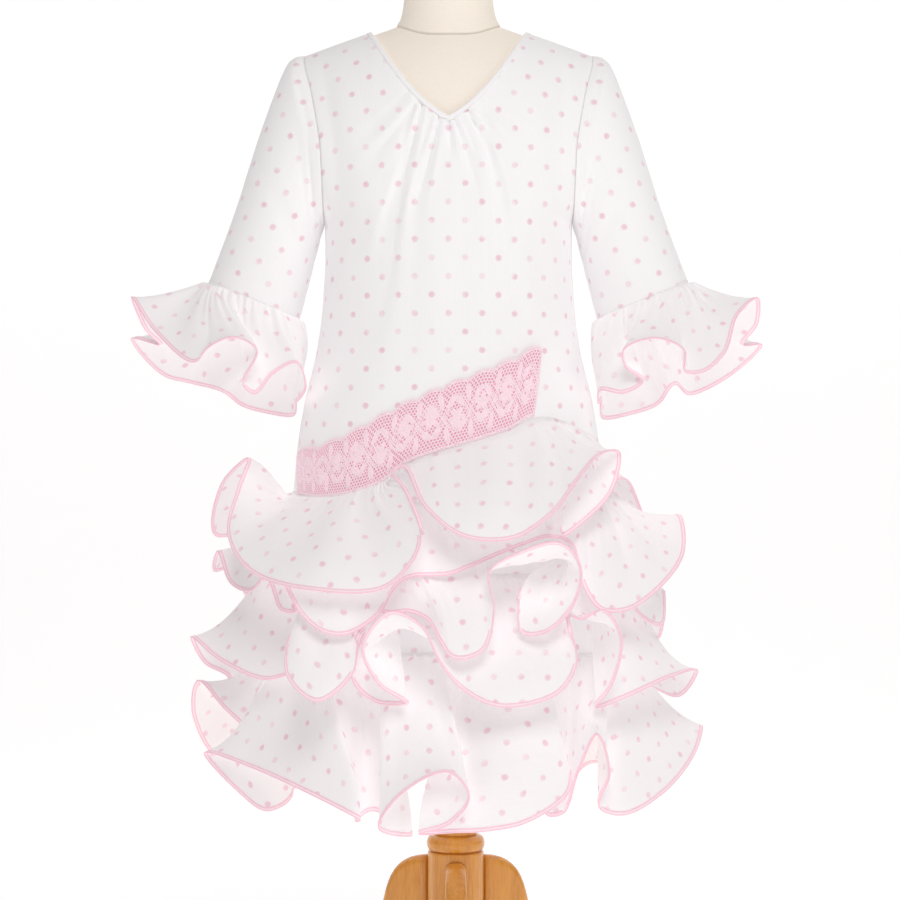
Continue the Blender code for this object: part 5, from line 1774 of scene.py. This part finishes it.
# %% [markdown]
# ## The dress form
# The form fills the dress like a body without limbs: flat where arms would start, and closed below. Its
# neck stands on the curve of the shoulders in a seam, where the jersey cover is sewn to the neck cap.

# %% Body of the form
FORM_NARROW = 0.95  # the form's flat sides lie this far in, so that the arms' seams stay clear


def form_inset(across, height):
    drop = max(shoulder_height(across) - height, 0.0) / SHOULDER_ROUND
    return CLOTH + SHOULDER_EASE + (EASE - SHOULDER_EASE) * min(drop / 0.22, 1.0)


def build_form_body(columns=24, low_rows=40, high_rows=26):
    shares = [sin(pi / 2 * step / columns) for step in range(-columns, columns + 1)]
    rings = []
    for row in range(low_rows + high_rows + 1):
        lines = []
        for side in (1, -1):
            line = []
            for share in shares:
                if row <= low_rows:
                    height = FORM_END + (ARMPIT - FORM_END) * (row / low_rows) ** 1.4
                    narrow = 1.0 - (1.0 - FORM_NARROW) * max(0.0, 1.0 - abs(height - ARMPIT) / 40.0)
                else:
                    top = 1060.0
                    for _ in range(12):
                        top = shoulder_height(share * edge_half_width(top))
                    height = row_height(share * edge_half_width(top), top, (row - low_rows) / high_rows)
                    narrow = FORM_NARROW
                trim = 7.0 * max(0.0, 1.0 - (height - FORM_END) / 16.0) ** 2
                across = share * edge_half_width(height) * narrow
                point = Vector((across, side * max(body_depth(across, height, side), 0.4), height))
                point -= body_normal(point, side) * (form_inset(across, height) + trim)
                if row <= low_rows:
                    point.z = height
                point.y = side * max(side * point.y, 0.3)
                line.append(point)
            lines.append(line)
        rings.append(lines[0] + lines[1][::-1])
    around = len(rings[0])
    quads = [quad[::-1] for quad in grid_quads(len(rings), around, True, True)]
    last = (len(rings) - 1) * around
    for index in range(len(shares) - 1):
        mate = around - 1 - index
        quads.append((index + 1, index, mate, mate - 1))
        quads.append((last + index, last + index + 1, last + mate - 1, last + mate))
    piece = new_piece("form_body", [p for ring in rings for p in ring], quads, JERSEY)
    face_outwards(piece)
    keep(piece, ["form_torso"])
    print("form body", len(quads), "faces")


build_form_body()

# %% Neck of the form
Ring = namedtuple("Ring", "height half_width half_depth")
NECK_RINGS = (
    Ring(1090, 52.0, 47.0), Ring(1096, 48.3, 44.5), Ring(1104, 45.8, 42.6), Ring(1114, 44.4, 41.4),
    Ring(1132, 43.6, 40.6), Ring(1145, 43.2, 40.2), Ring(1149.5, 41.0, 38.0), Ring(1151, 36.0, 33.0),
)


def form_top(across, forward):
    """Height of the form's shoulders over a place."""
    side = 1 if forward >= 0 else -1
    height = 1080.0
    for _ in range(8):
        inset = form_inset(across, height)
        width = between(BODY, height, 0, 1)
        full = between(BODY, height, 0, 2 if side > 0 else 3)
        full *= (1 - (abs(across) / width) ** ROUNDNESS) ** (1 / ROUNDNESS)
        share = min(abs(forward) / (full - inset), 0.999)
        height = shoulder_height(across) - inset - (SHOULDER_ROUND - inset) * (1 - sqrt(1 - share**2))
    return height


def build_form_neck(around=72, steps=48):
    turns = [2 * pi * step / around for step in range(around)]
    top, foot = NECK_RINGS[-1].height, NECK_RINGS[0].height
    wide, deep = NECK_RINGS[0].half_width, NECK_RINGS[0].half_depth
    grid = []
    for scale in (0.2, 0.5, 0.75, 0.95):
        places = [(scale * wide * sin(turn), scale * deep * cos(turn) + 1.0) for turn in turns]
        grid.append([Vector((*place, form_top(*place) + 3.0)) for place in places])
    seams = [form_top(wide * sin(turn), deep * cos(turn) + 1.0) - 0.15 for turn in turns]
    for row in range(steps + 1):
        level = foot + (top - foot) * sin(pi / 2 * row / steps)
        ring = Ring(level, between(NECK_RINGS, level, 0, 1), between(NECK_RINGS, level, 0, 2))
        share = (top - level) / (top - foot)
        line = []
        for turn, seam in zip(turns, seams):
            across, forward = ring.half_width * sin(turn), ring.half_depth * cos(turn) + 1.0
            line.append(Vector((across, forward, level + (seam - foot) * share**3)))
        grid.append(line)
    rim = grid[-1]
    for scale in (0.8, 0.5, 0.2):
        grid.append([Vector((p.x * scale, (p.y - 1) * scale + 1, top)) for p in rim])
    quads = grid_quads(len(grid), around, True, True)
    last = (len(grid) - 1) * around
    quads.append(tuple(range(around)))
    quads.append(tuple(last + step for step in reversed(range(around))))
    piece = new_piece("form_neck_cover", [p for row in grid for p in row], quads, JERSEY)
    face_outwards(piece)
    keep(piece, ["form_neck"])
    print("form neck", len(quads), "faces")


build_form_neck()

# %% [markdown]
# ## The wooden stand
# The column is turned on a lathe: its profile is rounded by cutting its corners three times and is then
# spun round its axis. The legs are sawn from a board. Their outline is rounded the same way and set out
# in even steps, and a stack of outlines, each a little smaller towards the faces, rounds their edges. A
# Bevel modifier could do that too, but on a curved outline its cuts run into one another.

# %% Column
Turned = namedtuple("Turned", "radius height")
COLUMN = (
    Turned(0, 96), Turned(9, 97), Turned(16, 102), Turned(19, 110), Turned(21, 114), Turned(28, 117),
    Turned(28, 260.8), Turned(27.2, 261.8), Turned(24.5, 262.0), Turned(24.5, 263.2), Turned(27.4, 263.5),
    Turned(28.9, 267), Turned(28.9, 272), Turned(27, 276.2), Turned(23, 278), Turned(20.6, 278.3),
    Turned(20.6, 279.1), Turned(21.8, 279.4), Turned(21.8, 284), Turned(18, 286),
    Turned(15, 288), Turned(15, FORM_END - 0.5), Turned(0, FORM_END - 0.5),
)
LEG_THICK = 21.5
LEG_EDGE = 8.0  # radius of a leg's edges high up
FOOT_EDGE = 2.5  # and at its foot
LEG_OUTER = (
    Turned(28.4, 255), Turned(42, 254.5), Turned(58, 249), Turned(72, 236), Turned(81, 213),
    Turned(87, 180), Turned(99, 141), Turned(128, 96), Turned(168, 60), Turned(204, 40),
    Turned(234, 30), Turned(250, 15), Turned(250, 0),
)
LEG_INNER = (
    Turned(212, 0), Turned(194, 11), Turned(160, 26), Turned(118, 58), Turned(84, 94), Turned(54, 116),
    Turned(28.4, 124),
)


def rounded(line, times, reach=2.0):
    """Cuts the corners of an open line, each by at most the reach, and repeats."""
    for _ in range(times):
        smooth = [line[0]]
        for one, other in zip(line, line[1:]):
            step = Vector((other[0] - one[0], other[1] - one[1]))
            cut = min(reach, step.length * 0.25) / max(step.length, 1e-6)
            for share in (cut, 1 - cut):
                smooth.append((one[0] + step.x * share, one[1] + step.y * share))
        smooth.append(line[-1])
        line, reach = smooth, reach / 2
    return line


def build_column(around=96):
    profile = [(spot.radius, spot.height) for spot in COLUMN]
    profile = rounded(profile, 3, 0.7)[1:-1]
    points, quads = [Vector((STAND_AXIS, 0, COLUMN[0].height))], []
    for radius, height in profile:
        for step in range(around):
            turn = 2 * pi * step / around
            points.append(Vector((STAND_AXIS + radius * sin(turn), radius * cos(turn), height)))
    points.append(Vector((STAND_AXIS, 0, COLUMN[-1].height)))
    last = 1 + (len(profile) - 1) * around
    for step in range(around):
        right = (step + 1) % around
        quads.append((0, 1 + right, 1 + step))
        quads.append((last + step, last + right, len(points) - 1))
        for row in range(len(profile) - 1):
            a, b = 1 + row * around, 1 + (row + 1) * around
            quads.append((a + step, a + right, b + right, b + step))
    piece = new_piece("turned_column", points, quads, TURNED_WOOD)
    face_outwards(piece)
    keep(piece, ["stand_column"])
    print("column", len(quads), "faces")


build_column()


# %% Legs
def even_steps(line, count):
    """The same line with evenly spaced points."""
    spots = [Vector(spot) for spot in line]
    runs = lengths_along(spots)
    even, index = [], 0
    for number in range(count):
        far = runs[-1] * number / (count - 1)
        while index < len(runs) - 2 and runs[index + 1] < far:
            index += 1
        share = (far - runs[index]) / (runs[index + 1] - runs[index])
        even.append(spots[index].lerp(spots[index + 1], min(share, 1.0)))
    return even


def build_leg(name, node_name, degrees, half=48):
    outer, inner = (
        even_steps(rounded([(spot.radius, spot.height) for spot in rows], 3, 9.0), half)
        for rows in (LEG_OUTER, LEG_INNER)
    )
    outline = outer + inner
    count = 2 * half
    inwards = [Vector((0, -1))]
    for before, after in zip(outline, outline[2:]):
        inwards.append(Vector((after[1] - before[1], before[0] - after[0])).normalized())
    inwards.append(Vector((0, 1)))
    turn = radians(degrees)
    out, wide = Vector((sin(turn), cos(turn), 0)), Vector((cos(turn), -sin(turn), 0))
    bends = [pi / 2 * step / 6 for step in range(7)]
    points = []
    for bend, side in [(bend, -1) for bend in bends[::-1]] + [(bend, 1) for bend in bends]:
        for (radius, height), inward in zip(outline, inwards):
            edge = FOOT_EDGE + (LEG_EDGE - FOOT_EDGE) * min(max((height - 30) / 90, 0.0), 1.0)
            spot = Vector((radius, height)) + inward * edge * (1 - cos(bend))
            aside = side * (LEG_THICK / 2 - edge * (1 - sin(bend)))
            points.append(Vector((STAND_AXIS, 0, spot.y)) + out * spot.x + wide * aside)
    rings = len(points) // count
    faces = grid_quads(rings, count, True, True)
    last = (rings - 1) * count
    for step in range(half - 1):
        quad = (step, step + 1, count - 2 - step, count - 1 - step)
        faces += [quad, tuple(last + corner for corner in reversed(quad))]
    piece = new_piece(name, points, faces, SAWN_WOOD)
    face_outwards(piece)
    keep(piece, [node_name])
    print(name, len(faces), "faces")


for name, degrees in (("front", 0), ("left", -120), ("right", 120)):
    build_leg(name + "_leg_board", "leg_" + name, degrees)

# %% [markdown]
# ## Studio, light and camera
# A pale floor curves up into a pale wall behind the dress. White cloth shows its folds only by soft
# shade, so most light comes from one broad lamp in front and well above the camera. A smaller lamp on
# the right models the folds from the side, a weak one low on the left lifts the shade under the ruffles
# as a reflector would, and one behind draws a rim. The world adds an even light.


# %% Stage and lamps
FLOOR_HALF = 4.5  # half the floor's width, in metres
FLOOR_BEND = 1.4  # radius of the curve from floor to wall
WALL_TOP = 4.2


def studio():
    bends = [pi / 2 * step / 16 for step in range(17)]
    profile = [(2.0 + FLOOR_BEND * sin(bend), FLOOR_BEND * (1 - cos(bend))) for bend in bends]
    profile = [(-3.6, 0.0)] + profile + [(2.0 + FLOOR_BEND, WALL_TOP)]
    floor_points = []
    for across in (-FLOOR_HALF, FLOOR_HALF):
        floor_points += [(across, far, up - 0.0004) for far, up in profile]
    mesh = bpy.data.meshes.new("studio_floor")
    mesh.from_pydata(floor_points, [], grid_quads(2, len(profile), False, True))
    mesh.shade_smooth()
    material, _, shader = new_material("pale_paper", (0.9, 0.9, 0.9), 0.9)
    add_glow(shader, (1.0, 1.0, 1.0), 0.45)
    mesh.materials.append(material)
    into_scene("studio_floor", mesh)


def lamp(name, place, target, size, watts):
    light = bpy.data.lights.new(name, "AREA")
    light.size = size
    light.energy = watts
    thing = into_scene(name, light)
    thing.location = place
    thing.rotation_euler = (Vector(target) - Vector(place)).to_track_quat("-Z", "Y").to_euler()


studio()
lamp("key", (2.1, -1.5, 1.1), (0.0, 0.0, 0.62), 1.0, 6.0)
lamp("front", (0.4, -2.8, 3.7), (0.0, 0.0, 0.62), 2.0, 62.0)
lamp("reflector", (-1.1, -1.3, 0.1), (-0.15, 0.0, 0.4), 0.8, 1.8)
lamp("rim", (0.6, 1.8, 2.4), (0.0, 0.0, 0.8), 1.2, 4.0)

world = bpy.data.worlds.new("studio_world")
bpy.context.scene.world = world
world.use_nodes = True
background = world.node_tree.nodes["Background"]
background.inputs["Color"].default_value = (1.0, 0.94, 0.94, 1.0)
background.inputs["Strength"].default_value = 0.29
bpy.context.scene.view_settings.view_transform = "Standard"
print("lit by", len(bpy.data.lights), "lamps and the world")

# %% Camera
FAR_OFF = 2.27  # from the camera to the middle of the dress, in metres
SEEN_HALF = 0.45  # half the width that the camera sees there
EYE_LEVEL = 0.662
EYE_ASIDE = 0.0015
camera = bpy.data.cameras.new("camera")
camera.sensor_fit = "HORIZONTAL"
camera.lens_unit = "FOV"
camera.angle = 2 * atan(SEEN_HALF / FAR_OFF)
viewer = into_scene("camera", camera)
viewer.location = (MOVED_X + EYE_ASIDE, MOVED_Y - FAR_OFF, EYE_LEVEL)
viewer.rotation_euler = (pi / 2, 0, 0)
bpy.context.scene.camera = viewer
print("the camera stands", FAR_OFF, "m away")
